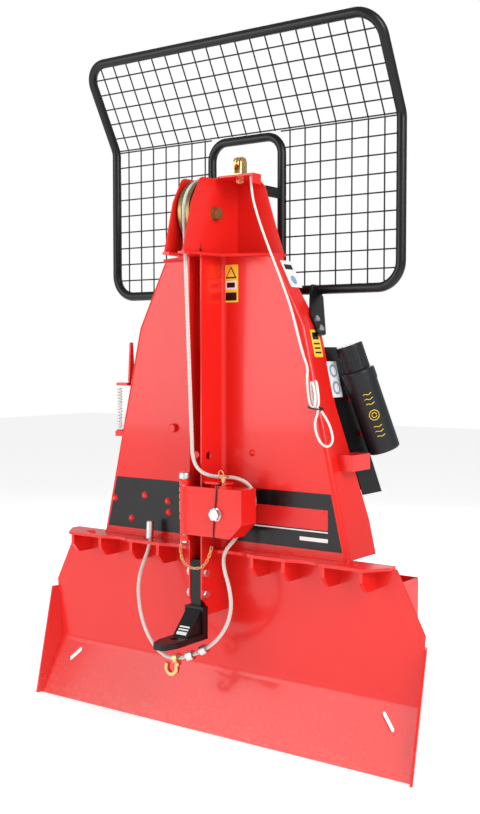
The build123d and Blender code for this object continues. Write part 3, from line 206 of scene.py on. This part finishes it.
def frictionLining(name):
    made = Finish(name)
    chips = made.cells(380)
    colour = made.blend(made.ramp(chips, 0.1, 0.5), (0.3, 0.2, 0.1), (0.09, 0.07, 0.06))
    return made.drive(Base_Color=colour, Roughness=made.ramp(chips, 0, 0.6, 0.7, 0.92),
                      Normal=made.bump(chips, 0.3, 0.0006))


def blownPlastic(name, dark, light, rough):
    made = Finish(name, Specular_IOR_Level=0.34)
    skin = made.noise(640, 3, 0.55)
    wave = made.noise(9, 3)
    scuff = made.ramp(made.noise(70, 6, 0.7), 0.62, 0.74, 0, 0.35)
    colour = made.blend(scuff, made.blend(wave, dark, light), (0.06, 0.06, 0.063))
    worn = made.ramp(wave, 0.2, 0.8, rough - 0.05, rough + 0.1) + scuff * 0.3
    return made.drive(Base_Color=colour, Roughness=worn,
                      Normal=made.bump(wave, 0.08, 0.003, made.bump(skin, 0.12, 0.0004)))


def ropeFinish(name, dark, light, metallic, rough, grain):
    made = Finish(name, Metallic=metallic)
    lay = made.noise(grain, 4, 0.6)
    soil = made.noise(9, 4, 0.65)
    colour = made.blend(made.ramp(lay, 0.3, 0.7), dark, light)
    colour = made.blend(made.ramp(soil, 0.58, 0.8, 0, 0.45), colour, tuple(part * 0.55 for part in dark))
    return made.drive(Base_Color=colour, Roughness=made.ramp(lay, 0.2, 0.8, rough - 0.1, rough + 0.1),
                      Normal=made.bump(lay, 0.35, 0.0006))


def vinylFilm(name, dark, light, rough=0.3):
    made = Finish(name, Coat_Weight=0.12, Coat_Roughness=0.12, Specular_IOR_Level=0.34)
    ripple = made.noise(17, 2, 0.4)
    rub = made.ramp(made.noise(60, 5, 0.7), 0.6, 0.75, 0, 0.25)
    rubbed = tuple(0.7 * part + 0.03 for part in light)
    return made.drive(Base_Color=made.blend(rub, made.blend(ripple, dark, light), rubbed),
                      Roughness=made.ramp(ripple, 0.2, 0.8, rough - 0.06, rough + 0.08) + rub,
                      Normal=made.bump(ripple, 0.1, 0.001))


finishes = {
    "red_paint": glossPaint("redPaint", (0.7, 0.013, 0.009), (0.75, 0.016, 0.011)),
    "black_paint": satinPaint("blackPaint", (0.003, 0.003, 0.0035), (0.007, 0.007, 0.008), 0.34),
    "zinc_plate": platedMetal("zincPlate", (0.62, 0.64, 0.66), (0.74, 0.74, 0.72), (0.5, 0.52, 0.56), 0.3),
    "yellow_plate": platedMetal("yellowPlate", (0.78, 0.56, 0.22), (0.7, 0.45, 0.24), (0.5, 0.55, 0.25), 0.3),
    "steel": turnedSteel("oiledSteel"),
    "cast_grey": castMetal("castHousing", (0.05, 0.05, 0.055), (0.1, 0.1, 0.105), 0.2, 0.55, 240),
    "bronze": castMetal("greasedBronze", (0.17, 0.13, 0.05), (0.42, 0.33, 0.13), 0.9, 0.42, 190),
    "friction": frictionLining("frictionLining"),
    "black_plastic": blownPlastic("blownPlastic", (0.007, 0.008, 0.010), (0.014, 0.015, 0.018), 0.36),
    "wire_rope": ropeFinish("wireRope", (0.52, 0.5, 0.46), (0.82, 0.8, 0.75), 0.35, 0.42, 700),
    "white_rope": ropeFinish("whiteRope", (0.72, 0.72, 0.68), (0.9, 0.9, 0.87), 0.0, 0.82, 900),
}
labelFilms = {
    "black": vinylFilm("blackFilm", (0.002, 0.002, 0.0025), (0.004, 0.004, 0.005)),
    "red": vinylFilm("redFilm", (0.66, 0.012, 0.012), (0.7, 0.016, 0.014)),
    "white": vinylFilm("whiteFilm", (0.78, 0.78, 0.77), (0.85, 0.85, 0.84)),
    "yellow": vinylFilm("yellowFilm", (0.86, 0.56, 0.03), (0.9, 0.62, 0.05)),
    "blue": vinylFilm("greyBlueFilm", (0.2, 0.32, 0.5), (0.24, 0.37, 0.55)),
}

for part in frame["record"]["subparts"]:
    for spot in nodes[part["node"]].material_slots or [None]:
        if spot is None:
            nodes[part["node"]].data.materials.append(finishes[part["material_slot"]])
        else:
            spot.material = finishes[part["material_slot"]]
print("finishes laid on", len(nodes), "nodes")


# ---- making pieces
def finished(mesh, name, finish, body):
    mesh.materials.clear()
    mesh.materials.append(finish)
    piece = bpy.data.objects.new(name, mesh)
    scene.collection.objects.link(piece)
    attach(piece, body)
    return piece


def meshOf(bm, name, smooth=True):
    bmesh.ops.remove_doubles(bm, verts=bm.verts, dist=0.000001)
    bmesh.ops.recalc_face_normals(bm, faces=bm.faces)
    mesh = bpy.data.meshes.new(name)
    bm.to_mesh(mesh)
    bm.free()
    for face in mesh.polygons:
        face.use_smooth = smooth
    return mesh


def lineThrough(points):
    # the smooth line that a route's points describe
    curve = bpy.data.curves.new("line", "CURVE")
    curve.dimensions = "3D"
    curve.resolution_u = 10
    spline = curve.splines.new("NURBS")
    spline.points.add(len(points) - 1)
    for spot, point in zip(spline.points, points):
        spot.co = (*point, 1)
    spline.order_u = 3
    spline.use_endpoint_u = True
    holder = bpy.data.objects.new("line", curve)
    scene.collection.objects.link(holder)
    mesh = bpy.data.meshes.new_from_object(holder)
    line = [vertex.co.copy() for vertex in mesh.vertices]
    bpy.data.objects.remove(holder)
    bpy.data.curves.remove(curve)
    bpy.data.meshes.remove(mesh)
    return line


def evenly(line, step):
    # the same line, read at equal distances
    kept = [line[0]]
    left = step
    for before, after in zip(line, line[1:]):
        run = (after - before).length
        done = 0.0
        while run - done >= left:
            done += left
            kept.append(before.lerp(after, done / run))
            left = step
        left -= run - done
    if (kept[-1] - line[-1]).length > step * 0.3:
        kept.append(line[-1])
    return kept


def framesAlong(line):
    # tangent and a side direction that doesn't twist about the line
    frames = []
    aside = None
    for spot, point in enumerate(line):
        ahead = line[min(spot + 1, len(line) - 1)] - line[max(spot - 1, 0)]
        ahead.normalize()
        if aside is None:
            aside = ahead.orthogonal().normalized()
        aside = (aside - ahead * aside.dot(ahead)).normalized()
        frames.append((point, ahead, aside.copy(), ahead.cross(aside)))
    return frames


def tubes(lines, radius, name, sides=2, swell=None):
    # round tubes with closed ends along one or more lines
    curve = bpy.data.curves.new(name, "CURVE")
    curve.dimensions = "3D"
    curve.bevel_depth = radius
    curve.bevel_resolution = sides
    curve.use_fill_caps = True
    for line in lines:
        spline = curve.splines.new("POLY")
        spline.points.add(len(line) - 1)
        for count, (spot, point) in enumerate(zip(spline.points, line)):
            spot.co = (*point, 1)
            spot.radius = swell(count, len(line)) if swell else 1.0
    holder = bpy.data.objects.new("tubes", curve)
    scene.collection.objects.link(holder)
    mesh = bpy.data.meshes.new_from_object(holder)
    bpy.data.objects.remove(holder)
    bpy.data.curves.remove(curve)
    bm = bmesh.new()
    bm.from_mesh(mesh)
    bpy.data.meshes.remove(mesh)
    return meshOf(bm, name)


def strandLines(line, ropeRadius, strands, pitch, step):
    # centre lines of strands laid round a rope's line
    strandRadius = ropeRadius / (1 + 1 / math.sin(math.pi / strands))
    away = ropeRadius - strandRadius
    laid = [[] for _ in range(strands)]
    for count, (point, ahead, aside, across) in enumerate(framesAlong(line)):
        for strand in range(strands):
            turn = 2 * math.pi * (count * step / pitch + strand / strands)
            laid[strand].append(point + (aside * math.cos(turn) + across * math.sin(turn)) * away)
    return laid, strandRadius


def lengthOf(line):
    return sum((after - before).length for before, after in zip(line, line[1:]))


def laidRope(points, rope, name, finish, body):
    line = evenly(lineThrough(points), rope["step"])
    strands, strandRadius = strandLines(line, rope["radius"], rope["strands"], rope["pitch"], rope["step"])
    mesh = tubes(strands, strandRadius, name, rope["sides"])
    bm = bmesh.new()
    bm.from_mesh(mesh)
    core = tubes([line], rope["radius"] - strandRadius, f"{name}Core", rope["sides"])
    bm.from_mesh(core)
    bpy.data.meshes.remove(core)
    bpy.data.meshes.remove(mesh)
    return finished(meshOf(bm, name), name, finish, body), line


# ---- ropes
mainRope = {"radius": 0.00635, "strands": 6, "pitch": 0.078, "step": 0.0065, "sides": 1}
mainRoute = [
    (0, 0.026, 0.962),
    (0, 0.0067, 1.6393),
    (0, 0.0031, 1.7672),
    (0, -0.1102, 1.8272),
    (0, -0.2183, 1.7581),
    (0, -0.2114, 1.6303),
    (0, -0.1752, 0.957),
    (0, -0.173, 0.916),
    (0.019, -0.171, 0.880),
    (0.054, -0.163, 0.861),
    (0.098, -0.144, 0.856),
    (0.135, -0.127, 0.857),
    (0.166, -0.106, 0.842),
    (0.183, -0.091, 0.811),
    (0.184, -0.084, 0.775),
    (0.171, -0.081, 0.738),
    (0.149, -0.086, 0.698),
    (0.121, -0.107, 0.654),
    (0.098, -0.138, 0.612),
    (0.116, -0.160, 0.566),
    (0.142, -0.166, 0.512),
    (0.153, -0.168, 0.454),
    (0.141, -0.169, 0.398),
    (0.112, -0.172, 0.350),
    (0.072, -0.175, 0.312),
    (0.026, -0.182, 0.284),
    (-0.026, -0.190, 0.262),
    (-0.078, -0.192, 0.252),
    (-0.128, -0.188, 0.264),
    (-0.176, -0.180, 0.298),
    (-0.216, -0.170, 0.346),
    (-0.242, -0.160, 0.404),
    (-0.255, -0.150, 0.464),
    (-0.258, -0.132, 0.514),
    (-0.257, -0.108, 0.556),
    (-0.255, -0.091, 0.588),
    (-0.255, -0.089, 0.616),
]
rope, ropeLine = laidRope(mainRoute, mainRope, "haulRope", finishes["wire_rope"], "frame")
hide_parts("main_rope")
round(lengthOf(ropeLine), 3)
print("haul rope", round(lengthOf(ropeLine), 3), "m")

pullRope = {"radius": 0.004, "strands": 4, "pitch": 0.03, "step": 0.004, "sides": 1}
hank = {"top": 1.168, "foot": 1.084, "lean": 0.14, "centre": (0.386, -0.062),
        "offsets": (-0.017, 0.007, -0.009, 0.015, 0.002), "depths": (-0.0075, -0.0075, 0.0, 0.0, 0.0075)}
pullRoute = [
    (0.168, -0.085, 1.812),
    (0.171, -0.086, 1.764),
    (0.184, -0.086, 1.714),
    (0.206, -0.084, 1.652),
    (0.230, -0.078, 1.588),
    (0.252, -0.068, 1.526),
    (0.276, -0.060, 1.462),
    (0.302, -0.056, 1.394),
    (0.322, -0.055, 1.326),
    (0.336, -0.055, 1.278),
    (0.351, -0.057, 1.240),
    (0.368, -0.060, 1.206),
]
hankTurns = []
for count, (offset, depth) in enumerate(zip(hank["offsets"], hank["depths"])):
    ends = [hank["top"] - 0.003 * (count % 3), hank["foot"] + 0.004 * (count % 2)]
    if count % 2:
        ends.reverse()
    for height in ends:
        slide = (hank["top"] - height) * hank["lean"]
        hankTurns.append((hank["centre"][0] + offset + slide, hank["centre"][1] + depth, height))
looseLoop = [
    (0.404, -0.058, 1.070),
    (0.392, -0.059, 1.040),
    (0.398, -0.061, 1.004),
    (0.420, -0.062, 0.970),
    (0.446, -0.062, 0.964),
    (0.461, -0.062, 0.984),
    (0.455, -0.062, 1.016),
    (0.438, -0.061, 1.050),
    (0.418, -0.061, 1.074),
]
pull, pullLine = laidRope(pullRoute + hankTurns + looseLoop, pullRope, "pullRope",
                          finishes["white_rope"], "frame")
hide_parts("control_rope", "control_rope_hank")
print("pull rope", round(lengthOf(pullLine), 3), "m")

# turns wound on the drum, two layers deep
winding = {"centre": (0.1, 0.0058, 0.930), "turns": 6, "layers": (0.0768, 0.0889), "pitch": 0.0127}
for layer, reach in enumerate(winding["layers"]):
    coil = []
    steps = 96 * winding["turns"]
    for count in range(steps + 1):
        angle = 2 * math.pi * count / 96
        along = winding["centre"][1] + 0.0065 + winding["pitch"] * count / 96
        coil.append(Vector((winding["centre"][0] + reach * math.cos(angle), along,
                            winding["centre"][2] + reach * math.sin(angle))))
    coil = evenly(coil, 0.008)
    laid, strandRadius = strandLines(coil, 0.00635, 6, 0.078, 0.008)
    wound = finished(tubes(laid, strandRadius, f"woundTurns{layer}", 1), f"woundTurns{layer}",
                     finishes["wire_rope"], "drum")
    if layer:
        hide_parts("wound_rope")
print("drum wound")


# ---- floor and light
floorMesh = bpy.data.meshes.new("floor")
bm = bmesh.new()
bmesh.ops.create_grid(bm, x_segments=1, y_segments=1, size=14)
bm.to_mesh(floorMesh)
bm.free()
floor = bpy.data.objects.new("floor", floorMesh)
floor.location.z = cadBox[0][2] - 0.0005
scene.collection.objects.link(floor)
floorFinish = Finish("studioFloor", Roughness=0.6, Emission_Color=(1, 1, 1, 1), Emission_Strength=0.45)
floorCloud = floorFinish.noise(1.2, 2)
floorMesh.materials.append(floorFinish.drive(
    Base_Color=floorFinish.blend(floorCloud, (0.9, 0.9, 0.9), (0.94, 0.94, 0.94))))

world = bpy.data.worlds.new("studio")
world.use_nodes = True
world.node_tree.nodes["Background"].inputs["Color"].default_value = (1, 1, 1, 1)
world.node_tree.nodes["Background"].inputs["Strength"].default_value = 0.48
backdrop = world.node_tree.nodes.new("ShaderNodeBackground")
backdrop.inputs["Color"].default_value = (1, 1, 1, 1)
rayKind = world.node_tree.nodes.new("ShaderNodeLightPath")
mixed = world.node_tree.nodes.new("ShaderNodeMixShader")
world.node_tree.links.new(rayKind.outputs["Is Camera Ray"], mixed.inputs[0])
world.node_tree.links.new(world.node_tree.nodes["Background"].outputs[0], mixed.inputs[1])
world.node_tree.links.new(backdrop.outputs[0], mixed.inputs[2])
world.node_tree.links.new(mixed.outputs[0], world.node_tree.nodes["World Output"].inputs["Surface"])
scene.world = world
scene.view_settings.view_transform = "Standard"

lamps = {
    "key": {"place": (4.2, -1.4, 3.4), "target": (0.2, 0, 1.0), "size": 2.6, "power": 158},
    "fill": {"place": (-2.6, -4.2, 2.2), "target": (0, 0, 1.0), "size": 3.2, "power": 106},
    "back": {"place": (-1.5, 3.6, 3.4), "target": (0, 0, 1.2), "size": 2.4, "power": 90},
}
for name, lamp in lamps.items():
    light = bpy.data.lights.new(name, "AREA")
    light.size = lamp["size"]
    light.energy = lamp["power"]
    holder = bpy.data.objects.new(name, light)
    holder.location = lamp["place"]
    holder.rotation_euler = (Vector(lamp["target"]) - Vector(lamp["place"])).to_track_quat("-Z", "Y").to_euler()
    scene.collection.objects.link(holder)
print("floor and lights set")


# ---- films and labels
# a film's gap from its surface, its thickness, and the step between films laid on each other
sheet = {"lift": 0.0005, "thick": 0.0004, "step": 0.0005}


def towerHalf(height):
    # half width of the tower's outline at a height
    if height < 1.339:
        return 0.508 - (height - 0.614) * (0.508 - 0.340) / (1.339 - 0.614)
    return 0.340 - (height - 1.339) * (0.340 - 0.226) / (1.563 - 1.339)


def film(name, corners, finish, rounding=0.0, slotName="black_plastic"):
    # a thin sheet on the surface that its corners lie in
    bm = bmesh.new()
    face = bm.faces.new([bm.verts.new(corner) for corner in corners])
    face.normal_update()
    facing = face.normal.copy()
    if rounding:
        bmesh.ops.bevel(bm, geom=bm.verts[:], offset=rounding, segments=4, profile=0.5,
                        affect="VERTICES", material=-1)
    bmesh.ops.translate(bm, verts=bm.verts, vec=facing * sheet["lift"])
    grown = bmesh.ops.extrude_face_region(bm, geom=bm.faces[:])
    bmesh.ops.translate(bm, verts=[part for part in grown["geom"] if isinstance(part, bmesh.types.BMVert)],
                        vec=facing * sheet["thick"])
    return finished(meshOf(bm, name, False), name, finish, "frame")


def rearFilm(name, left, right, low, high, finish, layer=0, **more):
    # on the tower's rear face
    y = -0.045 - sheet["step"] * layer
    return film(name, [(left, y, low), (right, y, low), (right, y, high), (left, y, high)], finish, **more)


def sideFilm(name, rear, front, low, high, finish, layer=0, **more):
    # on the tower's right side, along its slope
    out = sheet["step"] * layer
    corners = [(towerHalf(height) + out, depth, height)
               for depth, height in ((rear, low), (front, low), (front, high), (rear, high))]
    return film(name, corners, finish, **more)


def sideDisc(name, depth, height, radius, finish, layer, slotName="zinc_plate"):
    # a round film on the same side
    around = [2 * math.pi * count / 28 for count in range(28)]
    spots = [(depth + radius * math.cos(angle), height + radius * math.sin(angle)) for angle in around]
    corners = [(towerHalf(up) + sheet["step"] * layer, along, up) for along, up in spots]
    return film(name, corners, finish, slotName=slotName)


band = {"low": 0.638, "high": 0.816, "edge": 0.018, "inner": 0.046}
for way, name in ((-1, "bandLeft"), (1, "bandRight")):
    ends = [(way * band["inner"], band["low"]), (way * (towerHalf(band["low"]) - band["edge"]), band["low"]),
            (way * (towerHalf(band["high"]) - band["edge"]), band["high"]), (way * band["inner"], band["high"])]
    if way < 0:
        ends.reverse()
    film(name, [(x, -0.045, z) for x, z in ends], labelFilms["black"])
rearFilm("bandPanel", 0.150, 0.434, 0.702, 0.766, labelFilms["red"], 2, rounding=0.002, slotName="red_paint")
rearFilm("bandStripe", 0.150, 0.434, 0.694, 0.698, labelFilms["white"], 2, slotName="zinc_plate")
rearFilm("bandLine", 0.330, 0.434, 0.664, 0.676, labelFilms["white"], 2, slotName="zinc_plate")
rearFilm("rearLabel", 0.034, 0.090, 1.418, 1.540, labelFilms["yellow"], 1, rounding=0.004, slotName="yellow_plate")
triangle = [(0.040, 1.496), (0.084, 1.496), (0.062, 1.534)]
film("rearLabelTriangle", [(x, -0.0465, z) for x, z in triangle], labelFilms["black"], rounding=0.003)
film("rearLabelTriangleInset", [(x * 0.72 + 0.0174, -0.0475, z * 0.72 + 0.4234) for x, z in triangle],
     labelFilms["yellow"], rounding=0.002, slotName="yellow_plate")
rearFilm("rearLabelMiddle", 0.040, 0.084, 1.460, 1.488, labelFilms["white"], 3, rounding=0.002, slotName="zinc_plate")
rearFilm("rearLabelMiddleBar", 0.046, 0.078, 1.466, 1.482, labelFilms["black"], 5, rounding=0.002)
rearFilm("rearLabelFoot", 0.040, 0.084, 1.424, 1.450, labelFilms["black"], 3, rounding=0.002)
sideFilm("sideLabelWhite", -0.020, 0.046, 1.462, 1.548, labelFilms["white"], 1, rounding=0.004, slotName="zinc_plate")
sideDisc("sideLabelMark", 0.013, 1.486, 0.014, labelFilms["blue"], 3)
sideFilm("sideLabelBar", -0.008, 0.034, 1.520, 1.536, labelFilms["black"], 3, rounding=0.002)
sideFilm("sideLabelYellow", -0.014, 0.036, 1.240, 1.326, labelFilms["yellow"], 1, rounding=0.004, slotName="yellow_plate")
sideFilm("sideLabelYellowBar", -0.006, 0.028, 1.296, 1.318, labelFilms["black"], 3, rounding=0.002)
for count, height in enumerate((1.252, 1.266, 1.280)):
    sideFilm(f"sideLabelYellowLine{count}", -0.006, 0.028, height, height + 0.005, labelFilms["black"], 3)
sideFilm("sideLabelSheet", 0.048, 0.108, 1.112, 1.226, labelFilms["white"], 1, rounding=0.004, slotName="zinc_plate")
for count, height in enumerate((1.142, 1.196)):
    sideDisc(f"sideLabelSheetMark{count}", 0.078, height, 0.021, labelFilms["blue"], 3)
    sideDisc(f"sideLabelSheetCore{count}", 0.078, height, 0.014, labelFilms["white"], 5)
# plain strips on the ball block's sloping face
for count, (low, high) in enumerate(((0.12, 0.3), (0.38, 0.46), (0.54, 0.62))):
    ends = [(-0.02, low), (0.02, low), (0.02, high), (-0.02, high)]
    film(f"ballStrip{count}", [(x, -0.240 + 0.044 * up, 0.345 + 0.047 * up) for x, up in ends],
         labelFilms["white"], slotName="zinc_plate")

canister = {"foot": Vector((0.499, 0.195, 0.940)), "top": Vector((0.417, 0.103, 1.280)), "radius": 0.0522}
canister["axis"] = (canister["top"] - canister["foot"]).normalized()
canister["right"] = Vector((-0.587, 0.808, 0)).cross(canister["axis"]).normalized()
canister["rear"] = canister["right"].cross(canister["axis"])


def onCanister(aside, along):
    # a spot on the canister's wall; aside is measured round it from the rear
    angle = aside / canister["radius"]
    reach = canister["rear"] * math.cos(angle) + canister["right"] * math.sin(angle)
    return canister["foot"] + canister["axis"] * along + reach * canister["radius"]


strokes = []
for reach, turn, steps in ((0.016, 0.3, 22), (0.008, 0.6, 11)):
    strokes.append([onCanister(reach * math.cos(count * turn), 0.128 + reach * math.sin(count * turn))
                    for count in range(steps)])
for place in (0.058, 0.074, 0.090, 0.166, 0.182, 0.198):
    strokes.append([onCanister(0.0035 * (count - 4), place + 0.002 * math.sin(count)) for count in range(9)])
finished(tubes(strokes, 0.0013, "canisterMark", 1), "canisterMark", labelFilms["yellow"], "frame")
print("films laid")


# ---- small hardware
def domeHeads(name, places, facing, radius, finish):
    # round heads on washers, pressed against a surface
    bm = bmesh.new()
    turn = Vector(facing).to_track_quat("Z", "Y").to_matrix().to_4x4()
    for place in places:
        washer = bmesh.ops.create_cone(bm, cap_ends=True, segments=28, radius1=radius * 1.55, radius2=radius * 1.5,
                                       depth=radius * 0.3)
        bmesh.ops.translate(bm, verts=washer["verts"], vec=(0, 0, radius * 0.15))
        head = bmesh.ops.create_uvsphere(bm, u_segments=24, v_segments=12, radius=radius)
        below = [vertex for vertex in head["verts"] if vertex.co.z < -0.0001]
        keep = [vertex for vertex in head["verts"] if vertex.co.z >= -0.0001]
        bmesh.ops.delete(bm, geom=below, context="VERTS")
        rim = [edge for edge in bm.edges if edge.is_boundary]
        bmesh.ops.holes_fill(bm, edges=rim, sides=0)
        bmesh.ops.scale(bm, verts=keep, vec=(1, 1, 0.62))
        bmesh.ops.translate(bm, verts=keep, vec=(0, 0, radius * 0.28))
        bmesh.ops.transform(bm, matrix=Matrix.Translation(place) @ turn, verts=washer["verts"] + keep)
    return finished(meshOf(bm, name), name, finish, "frame")


domeHeads("bandBolts", [(-0.452, -0.0456, 0.739), (-0.313, -0.0456, 0.758), (-0.374, -0.0456, 0.672),
                        (-0.209, -0.0456, 0.745), (-0.205, -0.0456, 0.706)], (0, -1, 0), 0.008,
          finishes["red_paint"])
domeHeads("towerBolts", [(-0.108, -0.0452, 1.12), (0.146, -0.0452, 0.93)], (0, -1, 0), 0.007,
          finishes["red_paint"])


def chainLinks(name, route, link, finish, body):
    # welded links, each a quarter turn from the one before
    line = evenly(lineThrough(route), link["pitch"])
    bm = bmesh.new()
    for count, (before, after) in enumerate(zip(line, line[1:])):
        ahead = (after - before).normalized()
        turn = ahead.to_track_quat("Z", "Y") @ Quaternion((0, 0, 1), math.radians(90 * (count % 2) + 20))
        halfRun = link["pitch"] * 0.5
        spot = (before + after) / 2
        matrix = Matrix.Translation(spot) @ turn.to_matrix().to_4x4()
        wireRing = bmesh.ops.create_circle(bm, segments=8, radius=link["wire"])["verts"]
        bmesh.ops.translate(bm, verts=wireRing, vec=(link["half"], 0, halfRun))
        edges = list({edge for vertex in wireRing for edge in vertex.link_edges})
        topTurn = bmesh.ops.spin(bm, geom=wireRing + edges, cent=(0, 0, halfRun), axis=(0, -1, 0),
                                 angle=math.pi, steps=8)
        last = topTurn["geom_last"]
        endEdges = [part for part in last if isinstance(part, bmesh.types.BMEdge)]
        lowered = bmesh.ops.extrude_edge_only(bm, edges=endEdges)
        lowVerts = [part for part in lowered["geom"] if isinstance(part, bmesh.types.BMVert)]
        lowEdges = [part for part in lowered["geom"] if isinstance(part, bmesh.types.BMEdge)]
        bmesh.ops.translate(bm, verts=lowVerts, vec=(0, 0, -2 * halfRun))
        ringEdges = [edge for edge in lowEdges if all(vertex in lowVerts for vertex in edge.verts)]
        bmesh.ops.spin(bm, geom=lowVerts + ringEdges, cent=(0, 0, -halfRun), axis=(0, -1, 0),
                       angle=math.pi, steps=8)
        fresh = [vertex for vertex in bm.verts if not vertex.tag]
        openEdges = [edge for edge in bm.edges if edge.is_boundary and not edge.verts[0].tag]
        bmesh.ops.bridge_loops(bm, edges=openEdges)
        bmesh.ops.transform(bm, matrix=matrix, verts=fresh)
        for vertex in bm.verts:
            vertex.tag = True
    return finished(meshOf(bm, name), name, finish, body)


smallLink = {"pitch": 0.0115, "half": 0.0036, "wire": 0.00105}
chainLinks("pinChain", [(-0.043, -0.178, 0.858), (-0.053, -0.168, 0.820), (-0.058, -0.163, 0.770),
                        (-0.058, -0.162, 0.730), (-0.053, -0.166, 0.700), (-0.048, -0.172, 0.690)],
           smallLink, finishes["yellow_plate"], "frame")
chainLinks("keeperChain", [(-0.046, -0.176, 0.640), (-0.050, -0.178, 0.596), (-0.022, -0.180, 0.562),
                           (0.024, -0.180, 0.556), (0.066, -0.180, 0.580), (0.080, -0.178, 0.630)],
           smallLink, finishes["yellow_plate"], "frame")


def weldBead(name, route, width=0.0032):
    # overlapping ripples along a welded edge
    line = evenly([Vector(point) for point in route], 0.0035)
    mesh = tubes([line], width, name, 1, lambda count, total: 0.86 + 0.14 * math.cos(count * 2.1)
                 + 0.05 * noise.noise(Vector((count * 0.7, width * 900, 0))))
    return finished(mesh, name, finishes["red_paint"], "frame")


weldBead("headWeldLeft", [(-0.0415, -0.25, 1.5725), (-0.0415, 0.018, 1.5725)])
weldBead("headWeldRight", [(0.0415, -0.25, 1.5725), (0.0415, 0.018, 1.5725)])
for way, name in ((-1, "Left"), (1, "Right")):
    weldBead(f"shelfWeld{name}", [(way * 0.046, -0.0465, 0.6155), (way * 0.50, -0.0465, 0.6155)])
    weldBead(f"headFoot{name}", [(way * 0.046, -0.0465, 1.5615), (way * 0.22, -0.0465, 1.5615)])
weldBead("backPlateWeld", [(-0.21, 0.0185, 1.5725), (0.21, 0.0185, 1.5725)], 0.0028)
print("hardware and welds made")


def ring(name, centre, facing, radius, wire, finish, body):
    turn = Vector(facing).to_track_quat("Z", "Y")
    around = [Vector(centre) + turn @ Vector((radius * math.cos(a), radius * math.sin(a), 0))
              for a in [2 * math.pi * step / 40 for step in range(41)]]
    return finished(tubes([around], wire, name, 2), name, finish, body)


ring("latchRing", (0.120, -0.179, 0.8705), (0.25, 1, 0.1), 0.012, 0.0016,
     finishes["yellow_plate"], "latch_pin")
tieBlack = finishes["black_plastic"]
blockTie = [(0.112, -0.110, 0.837), (0.112, -0.150, 0.837), (0.112, -0.1915, 0.836), (0.110, -0.1925, 0.800),
            (0.105, -0.1925, 0.750), (0.100, -0.1925, 0.700), (0.098, -0.1915, 0.664), (0.098, -0.110, 0.663)]
finished(tubes([blockTie], 0.0024, "blockTie", 1), "blockTie", tieBlack, "lower_block")
ring("hankTie", (0.399, -0.062, 1.083), (0.14, 0, 1), 0.0235, 0.0026, tieBlack, "frame")

round(lengthOf(pullLine), 3)
